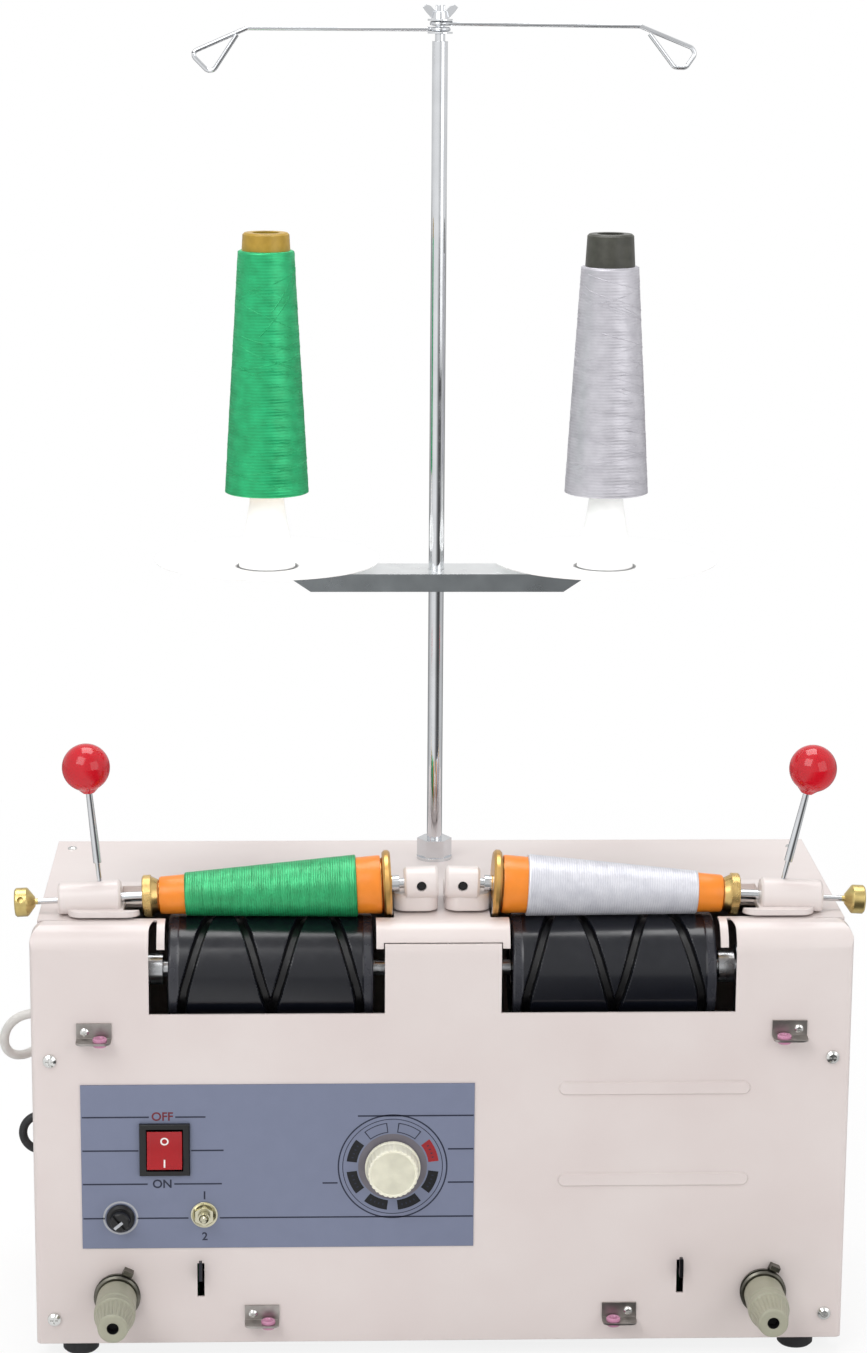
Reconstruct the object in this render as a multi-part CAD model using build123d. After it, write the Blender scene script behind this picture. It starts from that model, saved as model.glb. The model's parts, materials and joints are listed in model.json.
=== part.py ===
from build123d import *
import math
import os

# A two-head electric cone winder. Millimetres, X to the right, Y to the back, Z up.
# While it is built, Y is 0 at the front face, X is 0 in the middle and Z is 0 on the bench.

# ---- case ----
case_width = 406.0
case_depth = 165.0
case_top = 229.0
foot_height = 9.0
sheet = 1.2
seam_gap = 0.5
panel_gap = 0.4
flange_width = 14.0
flange_drop = 24.0
base_thickness = 1.5
base_flange = 13.0

cover_overhang = 3.0
bend_radius = 15.0
cover_edge_radius = 3.0
cover_corner_radius = 8.0
window_drop = 44.7
window_inner_x = 29.2
window_outer_x = 147.0
window_corner_radius = 3.0
cover_step_drop = 9.0

tongue_inset = 1.5
tongue_lip_drop = 11.5
tongue_half_width = 143.0
drum_slot_clearance = 1.5
drum_slot_back_clearance = 2.0
chuck_slot_width = 24.0
chuck_slot_clearance = 1.2

rib_length = 97.0
rib_height = 7.0
rib_relief = 1.0
rib_x = 107.2
rib_z_upper = 144.4
rib_z_lower = 95.7

# ---- control panel ----
panel_left = -181.8
panel_width = 198.0
panel_bottom = 60.6
panel_height = 87.0
panel_thickness = 0.6
panel_hole_clearance = 0.3

rocker_x = -139.8
rocker_z = 113.6
rocker_bezel_width = 25.4
rocker_bezel_height = 27.4
rocker_bezel_relief = 2.2
rocker_body_width = 22.0
rocker_body_height = 24.0
rocker_body_depth = 20.0
rocker_width = 17.6
rocker_height = 20.4
rocker_clearance = 0.5
rocker_tilt = 9.0
rocker_stand = 2.6

fuse_x = -162.4
fuse_z = 77.0
fuse_flange_radius = 7.2
fuse_flange_relief = 3.0
fuse_barrel_radius = 5.8
fuse_barrel_depth = 30.0
fuse_cap_radius = 5.2
fuse_cap_relief = 7.5
fuse_slot_width = 1.4
fuse_slot_depth = 1.6

toggle_x = -120.2
toggle_z = 78.6
toggle_bush_radius = 3.0
toggle_bush_relief = 6.5
toggle_nut_flats = 9.0
toggle_nut_height = 2.4
toggle_washer_radius = 6.8
toggle_washer_height = 0.8
toggle_body_width = 8.0
toggle_body_height = 13.2
toggle_body_depth = 11.0
toggle_lever_length = 10.5
toggle_lever_tip_radius = 1.7
toggle_lever_root_radius = 1.1
toggle_angle = 12.0

knob_x = -25.0
knob_z = 103.6
knob_radius = 14.2
knob_tip_radius = 12.2
knob_depth = 12.5
knob_gap = 0.8
knob_shaft_radius = 3.0
control_bush_radius = 4.6
control_bush_relief = 6.0
control_body_radius = 12.0
control_body_depth = 9.0

# ---- thread path on the front face ----
guide_upper_x = 174.5
guide_upper_z = 171.4
guide_lower_x = 91.2
guide_lower_z = 20.6
guide_width = 17.5
guide_leg_height = 8.6
guide_tab_depth = 10.0
guide_sheet = 1.0
guide_screw_offset = 4.6
eyelet_offset = 3.2
eyelet_reach = 5.4
eyelet_radius = 3.6
eyelet_neck_radius = 2.5
eyelet_bore_radius = 1.4
eyelet_height = 4.4

tension_x = 164.6
tension_z = 35.4
tension_stud_radius = 2.5
ear_plate_thickness = 1.2
ear_plate_radius = 11.4
ear_reach = 15.4
ear_width = 5.0
ear_angle = 24.0
tension_disc_radius = 11.8
tension_disc_thickness = 1.0
tension_disc_dish = 0.9
tension_collar_radius = 10.0
tension_collar_front_radius = 10.3
tension_collar_length = 17.6
tension_knob_length = 20.0
tension_knob_radius = 10.5
tension_knob_tip_radius = 7.7
tension_knob_bore_radius = 2.8
tension_knob_bore_depth = 7.0
tension_piece_gap = 0.4

feeler_x = 122.2
feeler_slot_width = 3.6
feeler_slot_bottom = 34.0
feeler_slot_top = 52.0
feeler_thickness = 1.6
feeler_height = 3.0
feeler_arm_z = 47.6
feeler_pivot_y = 26.0
feeler_pivot_z = 41.0
feeler_pin_radius = 1.5
feeler_boss_radius = 3.4
feeler_reach = 6.0
feeler_tip_rise = 7.0
feeler_ear_gap = 0.4
feeler_ear_thickness = 1.5

# ---- drum line ----
drum_inner_x = 35.0
drum_length = 102.5
drum_radius = 28.0
drum_y = 30.0
drum_depth = 30.0
drum_end_chamfer = 0.8
drum_hub_radius = 12.0
drum_hub_depth = 1.2
axle_radius = 4.0
axle_fit = 0.05
bearing_radius = 11.0
bearing_length = 7.0
upright_inner_x = 18.0
upright_outer_x = 152.0
upright_thickness = 3.0
upright_width = 32.0
upright_head_radius = 14.0
upright_web_z = 150.0
upright_web_thickness = 3.0
upright_foot = 12.0
axle_end_margin = 2.0
collar_radius = 8.0
collar_length = 8.0
collar_gap = 1.0

drum_pulley_radius = 24.0
motor_pulley_radius = 12.0
pulley_width = 10.0
pulley_groove_depth = 5.4
belt_radius = 2.4
belt_clearance = 0.35
motor_y = 112.0
motor_z = 58.0
motor_radius = 31.0
motor_length = 92.0
motor_start_x = 20.0
motor_end_bell = 10.0
motor_foot_width = 46.0
motor_shaft_radius = 3.0
motor_shaft_depth = 24.0
motor_boss_radius = 9.0
motor_boss_length = 6.0

# ---- winding heads ----
tube_inner_x = 30.7
tube_length = 111.6
tube_big_radius = 14.8
tube_small_radius = 9.4
tube_wall = 1.3
thread_build = 0.9
thread_start = 12.3
thread_end = 98.9
contact_gap = 0.3
thread_seat_gap = 0.1

flange_radius = 17.2
flange_thickness = 4.2
flange_tube_gap = 1.0
flange_hub_length = 20.0
flange_edge_radius = 1.2
hub_clearance = 0.35
spindle_radius = 2.5
spindle_collar_radius = 4.2
spindle_collar_length = 4.0

small_chuck_radius = 10.5
small_chuck_disc = 4.6
small_chuck_taper = 3.7
small_chuck_root_radius = 7.9
small_chuck_nose_length = 7.0
small_chuck_nose_radius = 7.4

chuck_stop_gap = 1.8
chuck_relief_gap = 0.6
outer_boss_length = 31.5
outer_boss_radius = 9.2
centre_boss_radius = 8.3
centre_boss_outer_x = 19.0
centre_boss_inner_x = 1.8
centre_screw_hole_radius = 2.5
centre_screw_hole_depth = 5.0
boss_edge_radius = 1.2
outer_foot_tongue = 9.75
outer_foot_inset = 5.0
inner_foot_outer_x = 24.4
foot_clearance = 1.2
outer_foot_height = 4.0
inner_foot_height = 9.6
foot_front_y = 15.0
inner_foot_front_y = 25.0
foot_front_radius = 7.0
bar_front_y = 49.4
bar_back_y = 57.2
bar_height = 8.0

pivot_y = 66.5
pivot_height = 5.6
pivot_pin_radius = 2.5
pivot_boss_radius = 5.0
pivot_ear_x = 47.0
pivot_ear_spacing = 52.0
pivot_ear_thickness = 6.0
pivot_boss_length = 15.0
pivot_gap = 0.4
pivot_web_height = 4.0

plunger_radius = 2.5
plunger_neck_radius = 1.5
plunger_collar_radius = 3.8
plunger_collar_length = 2.0
plunger_travel = 9.0
spring_chamber_radius = 4.2
chamber_wall = 3.0
knob_neck_length = 12.0
pull_knob_radius = 7.3
pull_knob_length = 6.6
pull_knob_taper = 3.4
pull_knob_hole_radius = 1.6
pull_knob_hole_depth = 3.0

lever_boss_inset = 9.95
lever_lean_left = 5.8
lever_lean_right = 13.0
stud_radius = 1.25
stud_length = 10.0
stud_seat = 4.0
lever_radius_low = 2.1
lever_radius_high = 1.6
lever_length = 38.0
ball_radius = 12.0
ball_neck_radius = 3.4
ball_neck_length = 1.6
ball_socket_depth = 7.0

# ---- thread stand ----
mast_y = 130.0
mast_radius = 4.0
mast_bore_radius = 3.0
mast_tail = 20.0
mast_top_z = 659.0
mast_nut_flats = 16.0
mast_nut_height = 9.5
mast_washer_radius = 9.4
mast_washer_height = 1.6
mast_inner_nut_height = 6.0
mast_plug_radius = 2.6
mast_plug_height = 3.6
stud_bolt_radius = 2.4
stud_bolt_rise = 18.0

tray_top_z = 386.4
tray_half_width = 98.0
tray_depth = 31.0
tray_flange = 9.4
tray_flange_top_x = 80.0
tray_flange_bottom_x = 66.0
tray_sheet = 1.2
tray_hole_gap = 0.15
through_length = 60.0
tray_collar_radius = 7.5
tray_collar_height = 8.0

spool_x = 88.8
plate_radius = 59.0
plate_thickness = 1.6
plate_rim_rise = 4.6
plate_flat_radius = 30.0
holder_base_radius = 14.8
holder_neck_radius = 9.2
holder_base_height = 33.0
holder_top_radius = 5.0
holder_rise = 83.6
holder_wall = 2.0
holder_slot_width = 3.6
holder_slot_height = 15.0
holder_bolt_radius = 3.0
holder_bolt_head_radius = 5.5
holder_bolt_head_height = 3.4

supply_rise = 40.6
supply_length = 135.0
supply_thread_length = 126.0
supply_tube_bottom_radius = 19.6
supply_tube_top_radius = 12.6
supply_tube_wall = 1.6
supply_thread_bottom_radius = 22.0
supply_thread_top_radius = 14.6
supply_gap = 0.3
supply_mouth_radius = 7.0

arm_wire_radius = 1.15
arm_left_rise = 6.0
arm_right_step = 2.9
arm_eye_radius = 4.2
arm_washer_radius = 6.4
arm_washer_height = 0.8
arm_bend_radius = 3.0
arm_left_reach = 125.4
arm_right_reach = 130.2
arm_loop_depth = 3.6
left_loop_shares = (
    (0.7815, 0.0), (0.9936, -0.0925), (1.0, -0.1116), (0.941, -0.1707), (0.9155, -0.1675), (0.8214, -0.0255)
)
right_loop_shares = (
    (0.7819, -0.0061), (0.9862, -0.0876), (1.0, -0.1106), (0.9631, -0.1644), (0.9171, -0.1628),
    (0.8172, -0.0353)
)
arm_gap = 0.2
wing_hub_radius = 4.6
wing_hub_height = 3.6
wing_span = 9.0
wing_height = 7.0
wing_thickness = 1.8
wing_gap = 0.25

# ---- feet, screws, electrics and leads ----
foot_radius = 9.2
foot_inset_x = 18.5
foot_inset_y = 15.0
foot_taper = 1.2
screw_head_radius = 3.5
screw_head_height = 2.2
screw_shank_radius = 1.8
screw_shank_length = 6.0
cover_screw_inset = 6.2
cover_screw_upper_z = 160.4
cover_screw_lower_z = 22.3
top_screw_inset = 8.4
top_screw_y = 149.8
top_screw_head_radius = 2.6
top_screw_head_height = 1.2
guide_screw_head_radius = 2.3
guide_screw_head_height = 1.3
guide_screw_shank_radius = 1.2

board_left = -110.0
board_width = 70.0
board_bottom = 14.0
board_height = 60.0
board_y = 60.0
board_thickness = 1.6
board_part_height = 14.0

lead_y = 120.0
side_lead_radius = 2.3
side_lead_z = 78.5
side_lead_loop_radius = 9.8
side_lead_reach = 8.8
grommet_radius = 4.6
grommet_flange = 1.6
cord_radius = 2.5
gland_radius = 6.0
gland_length = 9.0
gland_z = 146.0
coil_loop_radius = 35.5
coil_turns = 3
coil_pitch = 5.7
coil_climb = 5.6
coil_dip = 0.9
coil_centre_x = -120.0
coil_centre_y = 229.0
plug_length = 36.0
plug_width = 24.0
plug_pin_radius = 2.0
plug_pin_length = 18.0
plug_pin_spacing = 12.0
plug_neck_length = 24.0
plug_neck_radius = 4.5

# ---- sizes that follow from those above ----
side_names = ("left", "right")
side_signs = {"left": -1, "right": 1}
cover_half_width = case_width / 2 + cover_overhang
case_half_width = case_width / 2
under_top = case_top - sheet
window_bottom = case_top - window_drop
cover_step_top = case_top - cover_step_drop
tongue_lip_z = case_top - tongue_lip_drop
cover_screw_x = case_half_width - cover_screw_inset
top_screw_x = case_half_width - top_screw_inset
drum_z = case_top - drum_depth
pivot_z = case_top + pivot_height
foot_bottom_z = case_top + foot_clearance
outer_foot_top_z = case_top + outer_foot_height
inner_foot_top_z = case_top + inner_foot_height
bar_top_z = case_top + bar_height
mast_bottom_z = case_top - mast_tail
stud_bolt_top_z = mast_top_z + stud_bolt_rise
arm_left_z = mast_top_z + arm_left_rise
arm_right_z = arm_left_z + arm_right_step
holder_top_z = tray_top_z + holder_rise
supply_bottom_z = tray_top_z + supply_rise
supply_top_z = supply_bottom_z + supply_length
supply_thread_top_z = supply_bottom_z + supply_thread_length
taper = math.atan((tube_big_radius - tube_small_radius) / tube_length)
small_chuck_end = tube_length + contact_gap + small_chuck_taper + small_chuck_disc
outer_boss_start = small_chuck_end + plunger_travel + chuck_stop_gap
outer_boss_inner_x = tube_inner_x + outer_boss_start * math.cos(taper)
outer_boss_outer_x = outer_boss_inner_x + outer_boss_length * math.cos(taper)
outer_foot_inner_x = outer_boss_inner_x - outer_foot_tongue
outer_foot_outer_x = outer_boss_outer_x - outer_foot_inset
lever_foot_x = outer_boss_inner_x + lever_boss_inset
thread_big_radius = tube_big_radius + thread_build
spindle_z = drum_z + drum_radius + contact_gap + thread_big_radius * math.cos(taper)
thread_mean_radius = thread_big_radius - math.tan(taper) * (thread_start + thread_end) / 2
cone_ratio = -drum_radius / thread_mean_radius
motor_ratio = (drum_pulley_radius - pulley_groove_depth) / (motor_pulley_radius - pulley_groove_depth)
nodes = {}


def block(x0, x1, y0, y1, z0, z1):
    """A box between two corners."""
    size = Box(abs(x1 - x0), abs(y1 - y0), abs(z1 - z0))
    return Pos((x0 + x1) / 2, (y0 + y1) / 2, (z0 + z1) / 2) * size


def rod(start, direction, radius, length):
    """A round bar from a point along a direction."""
    return Plane(origin=start, z_dir=direction) * Cylinder(
        radius, length, align=(Align.CENTER, Align.CENTER, Align.MIN)
    )


def rod_x(x0, x1, y, z, radius):
    """A round bar along X between two places."""
    return rod((min(x0, x1), y, z), (1, 0, 0), radius, abs(x1 - x0))


def turned(plane, outline):
    """A turned solid: (distance along the plane's axis, radius) points, closed on the axis."""
    points = [(0, outline[0][0])] + [(radius, along) for along, radius in outline] + [(0, outline[-1][0])]
    face = make_face(Polyline(*points, close=True))
    return plane * revolve(Plane.XZ * face, axis=Axis.Z)


def turned_ring(plane, outline):
    """A turned ring: a closed outline of (distance along the axis, radius) points off the axis."""
    face = make_face(Polyline(*[(radius, along) for along, radius in outline], close=True))
    return plane * revolve(Plane.XZ * face, axis=Axis.Z)


def forward(x, z, y=0.0):
    """The plane of a round piece that stands out of the front face."""
    return Plane(origin=(x, y, z), z_dir=(0, -1, 0))


def upward(x, y, z=0.0):
    """The plane of an upright round piece."""
    return Plane(origin=(x, y, z))


# ---- case ----
def cover_blank(inset, back_y, bottom_z):
    """The outer form of the front cover, or its inside when inset by the sheet."""
    half = cover_half_width - inset
    top = case_top - inset
    radius = bend_radius - inset
    across = block(-half, half, inset, back_y, bottom_z, top)
    corner_bar = block(-half, half, inset - 1, bend_radius, top - radius, top + 1)
    across -= corner_bar - rod_x(-half - 1, half + 1, bend_radius, top - radius, radius)
    front_shape = RectangleRounded(2 * half, 2 * (top - bottom_z), cover_corner_radius - inset)
    front_prism = extrude(Plane.XZ.offset(-back_y) * Pos(0, bottom_z) * front_shape, amount=2 * back_y,
        both=True)
    edge_radius = cover_edge_radius - inset
    plan_shape = RectangleRounded(2 * half, 4 * back_y, edge_radius)
    plan_prism = extrude(Pos(0, inset + 2 * back_y, bottom_z) * plan_shape, amount=2 * top)
    return across & front_prism & plan_prism


def pressed_rib(z, y, grow):
    """One pressed stiffening rib of the cover, seen from the front as a long slot."""
    shape = SlotOverall(rib_length - 2 * grow, rib_height - 2 * grow)
    return extrude(Plane.XZ.offset(-y) * Pos(rib_x, z) * shape, amount=rib_relief, taper=30)


def front_hole(x, z, radius):
    """A round hole through the face and the control panel."""
    return rod((x, -3 * sheet, z), (0, 1, 0), radius, 6 * sheet)


def front_cover():
    shell = cover_blank(0, bend_radius, foot_height)
    shell -= cover_blank(sheet, 1.6 * bend_radius, foot_height - 4 * sheet)
    reach = 2 * bend_radius
    notch_width = 2 * window_outer_x
    notch_height = 2 * (case_top + window_corner_radius - cover_step_top)
    notch_shape = Rectangle(notch_width, notch_height)
    for sign in (-1, 1):
        edge_start = sign * window_outer_x
        shell -= block(
            sign * window_inner_x, edge_start, -reach, reach, window_bottom, case_top - window_corner_radius
        )
    centre_half = window_outer_x - window_corner_radius
    shell -= extrude(Plane.XZ.offset(-reach) * Pos(0, cover_step_top + notch_height / 2) * notch_shape,
        amount=2 * reach) & block(
        -window_outer_x, window_outer_x, -reach, reach, cover_step_top, case_top - window_corner_radius
    )
    shell -= block(-centre_half, centre_half, -reach, reach, cover_step_top, case_top + sheet)
    for sign in (-1, 1):
        corner = rod(
            (sign * centre_half, -reach, case_top - window_corner_radius), (0, 1, 0), window_corner_radius,
            2 * reach
        )
        shell -= corner
    for z in (rib_z_upper, rib_z_lower):
        shell += pressed_rib(z, 0, 0)
        shell -= pressed_rib(z, sheet, sheet / 2)
    shell -= block(
        rocker_x - rocker_body_width / 2 - panel_hole_clearance,
        rocker_x + rocker_body_width / 2 + panel_hole_clearance,
        -reach,
        reach,
        rocker_z - rocker_body_height / 2 - panel_hole_clearance,
        rocker_z + rocker_body_height / 2 + panel_hole_clearance,
    )
    shell -= front_hole(fuse_x, fuse_z, fuse_barrel_radius + panel_hole_clearance)
    shell -= front_hole(toggle_x, toggle_z, toggle_bush_radius + panel_hole_clearance)
    shell -= front_hole(knob_x, knob_z, control_bush_radius + panel_hole_clearance)
    for sign in (-1, 1):
        shell -= front_hole(sign * tension_x, tension_z, tension_stud_radius + panel_hole_clearance)
        shell -= block(
            sign * feeler_x - feeler_slot_width / 2,
            sign * feeler_x + feeler_slot_width / 2,
            -reach,
            reach,
            feeler_slot_bottom,
            feeler_slot_top,
        )
        for x, z in guide_screw_places(sign):
            shell -= front_hole(x, z, guide_screw_shank_radius + panel_hole_clearance)
        for z in (cover_screw_lower_z, cover_screw_upper_z):
            shell -= front_hole(sign * cover_screw_x, z, screw_shank_radius + panel_hole_clearance)
    return shell


def guide_screw_places(sign):
    """Where the two thread guides of one side are screwed to the face."""
    upper = (sign * (guide_upper_x + guide_screw_offset), guide_upper_z + guide_leg_height / 2)
    lower = (sign * (guide_lower_x + guide_screw_offset), guide_lower_z + guide_leg_height / 2)
    return (upper, lower)


def drum_slot(sign):
    """The opening over one drum in the top cover and its tongue."""
    inner = sign * (drum_inner_x - drum_slot_clearance)
    outer = sign * (drum_inner_x + drum_length + drum_slot_clearance)
    back = drum_y + drum_radius + drum_slot_back_clearance
    return block(inner, outer, -bend_radius, back, tongue_lip_z - bend_radius, case_top + bend_radius)


def chuck_slot(sign):
    """The narrower opening that carries a drum's slot on under the two chucks."""
    inner = sign * (tube_inner_x - flange_tube_gap - flange_thickness - chuck_slot_clearance)
    outer = sign * (along_to_x(small_chuck_end) + plunger_travel + chuck_slot_clearance)
    half = chuck_slot_width / 2
    return block(inner, outer, drum_y - half, drum_y + half, under_top - sheet, case_top + sheet)


def top_cover():
    plate = block(-case_half_width, case_half_width, bend_radius + seam_gap, case_depth, under_top, case_top)
    radius = bend_radius - tongue_inset
    bend_z = case_top - radius
    outer = rod((-tongue_half_width, bend_radius, bend_z), (1, 0, 0), radius, 2 * tongue_half_width)
    inner = rod((-case_half_width, bend_radius, bend_z), (1, 0, 0), radius - sheet, case_width)
    tongue = (outer - inner) & block(
        -case_half_width, case_half_width, -bend_radius, bend_radius, tongue_lip_z, case_top
    )
    bridge = block(-tongue_half_width, tongue_half_width, bend_radius, bend_radius + seam_gap, under_top,
        case_top)
    strip_half = window_inner_x + seam_gap
    behind_strip = block(
        -strip_half, strip_half, 0, bend_radius / 2, tongue_lip_z - sheet, cover_step_top + panel_gap
    )
    cover = plate + bridge + tongue - behind_strip
    for sign in (-1, 1):
        cover -= drum_slot(sign)
        cover -= chuck_slot(sign)
        cover -= rod(
            (sign * top_screw_x, top_screw_y, under_top - sheet), (0, 0, 1),
            screw_shank_radius + panel_hole_clearance, 4 * sheet
        )
    cover -= rod((0, mast_y, under_top - sheet), (0, 0, 1), mast_radius + panel_hole_clearance, 4 * sheet)
    return cover


def rear_case():
    front_y = sheet + panel_gap
    low_z = foot_height
    outer = block(-case_half_width, case_half_width, front_y, case_depth, low_z, under_top)
    cavity = block(
        -case_half_width + sheet, case_half_width - sheet, front_y + sheet, case_depth - sheet,
        low_z - sheet, under_top - sheet
    )
    opening_half = case_half_width - flange_width
    top_opening = block(
        -opening_half, opening_half, bend_radius + seam_gap + sheet, case_depth - flange_width, low_z,
        case_top
    )
    front_opening = block(-opening_half, opening_half, 0, front_y + 2 * sheet, 0, case_top)
    front_notch = block(
        -case_width, case_width, 0, bend_radius + seam_gap, case_top - flange_drop, case_top
    )
    front_bar = block(-opening_half, opening_half, 0, bend_radius + 2 * seam_gap + 2 * sheet, low_z, case_top)
    shell = outer - cavity - top_opening - front_opening - front_notch - front_bar
    for sign in (-1, 1):
        for z in (cover_screw_lower_z, cover_screw_upper_z):
            shell -= front_hole(sign * cover_screw_x, z, screw_shank_radius + panel_hole_clearance)
        shell -= rod(
            (sign * top_screw_x, top_screw_y, under_top - 3 * sheet), (0, 0, 1),
            screw_shank_radius + panel_hole_clearance, 6 * sheet
        )
    for z in side_lead_exits():
        shell -= rod((-case_half_width - sheet, lead_y, z), (1, 0, 0), side_lead_radius + 1.0, 3 * sheet)
    shell -= rod((-case_half_width - sheet, lead_y, gland_z), (1, 0, 0), cord_radius + 1.0, 3 * sheet)
    return shell


def side_lead_exits():
    """The two heights where the short black lead leaves and enters the side wall."""
    return (side_lead_z - side_lead_loop_radius, side_lead_z + side_lead_loop_radius)


def base_plate():
    inner_half = case_half_width - sheet - panel_gap
    front_y = sheet + panel_gap + sheet + panel_gap
    back_y = case_depth - sheet - panel_gap
    plate = block(-inner_half, inner_half, front_y, back_y, foot_height, foot_height + base_thickness)
    for sign in (-1, 1):
        edge = sign * inner_half
        plate += block(
            edge, edge - sign * base_thickness, front_y, back_y, foot_height, foot_height + base_flange
        )
    plate += block(-inner_half, inner_half, back_y - base_thickness, back_y, foot_height,
        foot_height + base_flange)
    for x, y in foot_places():
        plate -= rod((x, y, 0), (0, 0, 1), screw_shank_radius + panel_hole_clearance, 2 * foot_height)
    return plate


def foot_places():
    """The four feet, near the corners of the base."""
    x = case_half_width - foot_inset_x
    return [(sx * x, y) for sx in (-1, 1) for y in (foot_inset_y, case_depth - foot_inset_y)]


def feet():
    return [
        turned(upward(x, y), [(0, foot_radius - foot_taper), (foot_taper, foot_radius),
        (foot_height, foot_radius)])
        for x, y in foot_places()
    ]


def pan_screw(plane, head_radius, head_height, shank_radius, shank_length):
    """A round-headed screw with a cross recess, its head seated on the plane."""
    body = turned(
        plane,
        [
            (-shank_length, shank_radius),
            (0, shank_radius),
            (0, head_radius),
            (head_height * 0.55, head_radius * 0.94),
            (head_height, head_radius * 0.55),
        ],
    )
    recess = Box(head_radius * 1.1, head_radius * 0.24, head_height) + Box(head_radius * 0.24,
        head_radius * 1.1, head_height)
    return body - plane * Pos(0, 0, head_height) * recess


def cover_screws():
    screws = []
    for sign in (-1, 1):
        for z in (cover_screw_lower_z, cover_screw_upper_z):
            screws.append(
                pan_screw(
                    forward(sign * cover_screw_x, z), screw_head_radius, screw_head_height,
                    screw_shank_radius, screw_shank_length
                )
            )
        screws.append(
            pan_screw(
                upward(sign * top_screw_x, top_screw_y, case_top),
                top_screw_head_radius,
                top_screw_head_height,
                screw_shank_radius,
                screw_shank_length,
            )
        )
        for x, z in guide_screw_places(sign):
            screws.append(
                pan_screw(
                    forward(x, z, -guide_sheet),
                    guide_screw_head_radius,
                    guide_screw_head_height,
                    guide_screw_shank_radius,
                    screw_shank_length,
                )
            )
    for x, y in foot_places():
        seat = foot_height + base_thickness
        screws.append(
            pan_screw(upward(x, y, seat), screw_head_radius, screw_head_height, screw_shank_radius,
            0.9 * base_thickness)
        )
    return screws


# ---- control panel ----
def control_panel():
    panel = block(
        panel_left, panel_left + panel_width, -panel_thickness, 0, panel_bottom, panel_bottom + panel_height
    )
    panel -= block(
        rocker_x - rocker_body_width / 2 - panel_hole_clearance,
        rocker_x + rocker_body_width / 2 + panel_hole_clearance,
        -1,
        1,
        rocker_z - rocker_body_height / 2 - panel_hole_clearance,
        rocker_z + rocker_body_height / 2 + panel_hole_clearance,
    )
    panel -= front_hole(fuse_x, fuse_z, fuse_barrel_radius + panel_hole_clearance)
    panel -= front_hole(toggle_x, toggle_z, toggle_bush_radius + panel_hole_clearance)
    panel -= front_hole(knob_x, knob_z, control_bush_radius + panel_hole_clearance)
    return panel


def rocker_bezel():
    face = -panel_thickness
    half_w = rocker_bezel_width / 2
    half_h = rocker_bezel_height / 2
    rim = block(rocker_x - half_w, rocker_x + half_w, face - rocker_bezel_relief, face, rocker_z - half_h,
        rocker_z + half_h)
    rim = fillet(rim.faces().sort_by(Axis.Y)[0].edges(), 0.7)
    body = block(
        rocker_x - rocker_body_width / 2,
        rocker_x + rocker_body_width / 2,
        face,
        face + rocker_body_depth,
        rocker_z - rocker_body_height / 2,
        rocker_z + rocker_body_height / 2,
    )
    well = block(
        rocker_x - rocker_width / 2 - rocker_clearance,
        rocker_x + rocker_width / 2 + rocker_clearance,
        -rocker_bezel_relief - 5,
        face + rocker_body_depth - 3,
        rocker_z - rocker_height / 2 - rocker_clearance - 0.4,
        rocker_z + rocker_height / 2 + rocker_clearance + 0.4,
    )
    housing = rim + body - well
    for drop in (-7, 0, 7):
        housing += block(
            rocker_x - 2.4, rocker_x + 2.4, face + rocker_body_depth, face + rocker_body_depth + 7,
            rocker_z + drop - 0.4, rocker_z + drop + 0.4
        )
    return housing


def rocker():
    """The paddle: a wide V on a pivot behind it, its upper half pressed in at rest."""
    half = rocker_height / 2
    rise = half * math.sin(math.radians(rocker_tilt))
    outline = Polyline(
        (-rocker_stand - rise, -half + 0.6),
        (-rocker_stand, 0),
        (-rocker_stand - rise, half - 0.6),
        (2.4, half * 0.86),
        (6.5, 2.2),
        (6.5, -2.2),
        (2.4, -half * 0.86),
        close=True,
    )
    paddle = extrude(Plane.YZ * make_face(outline), amount=rocker_width / 2, both=True)
    paddle = Rot(-rocker_tilt, 0, 0) * paddle
    return Pos(rocker_x, -panel_thickness, rocker_z) * paddle


def fuse_holder():
    plane = forward(fuse_x, fuse_z, -panel_thickness)
    depth = fuse_barrel_depth
    body = turned(
        plane,
        [
            (-depth, fuse_barrel_radius * 0.8),
            (-depth + 3, fuse_barrel_radius),
            (0, fuse_barrel_radius),
            (0, fuse_flange_radius),
            (fuse_flange_relief * 0.6, fuse_flange_radius),
            (fuse_flange_relief, fuse_flange_radius * 0.86),
        ],
    )
    cap = turned(
        plane,
        [
            (fuse_flange_relief, fuse_cap_radius),
            (fuse_cap_relief - 0.8, fuse_cap_radius * 0.94),
            (fuse_cap_relief, fuse_cap_radius * 0.8),
        ],
    )
    slot = plane * Rot(0, 0, 40) * Pos(0, 0, fuse_cap_relief) * Box(4 * fuse_cap_radius, fuse_slot_width,
        2 * fuse_slot_depth)
    return [body, cap - slot]


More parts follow.
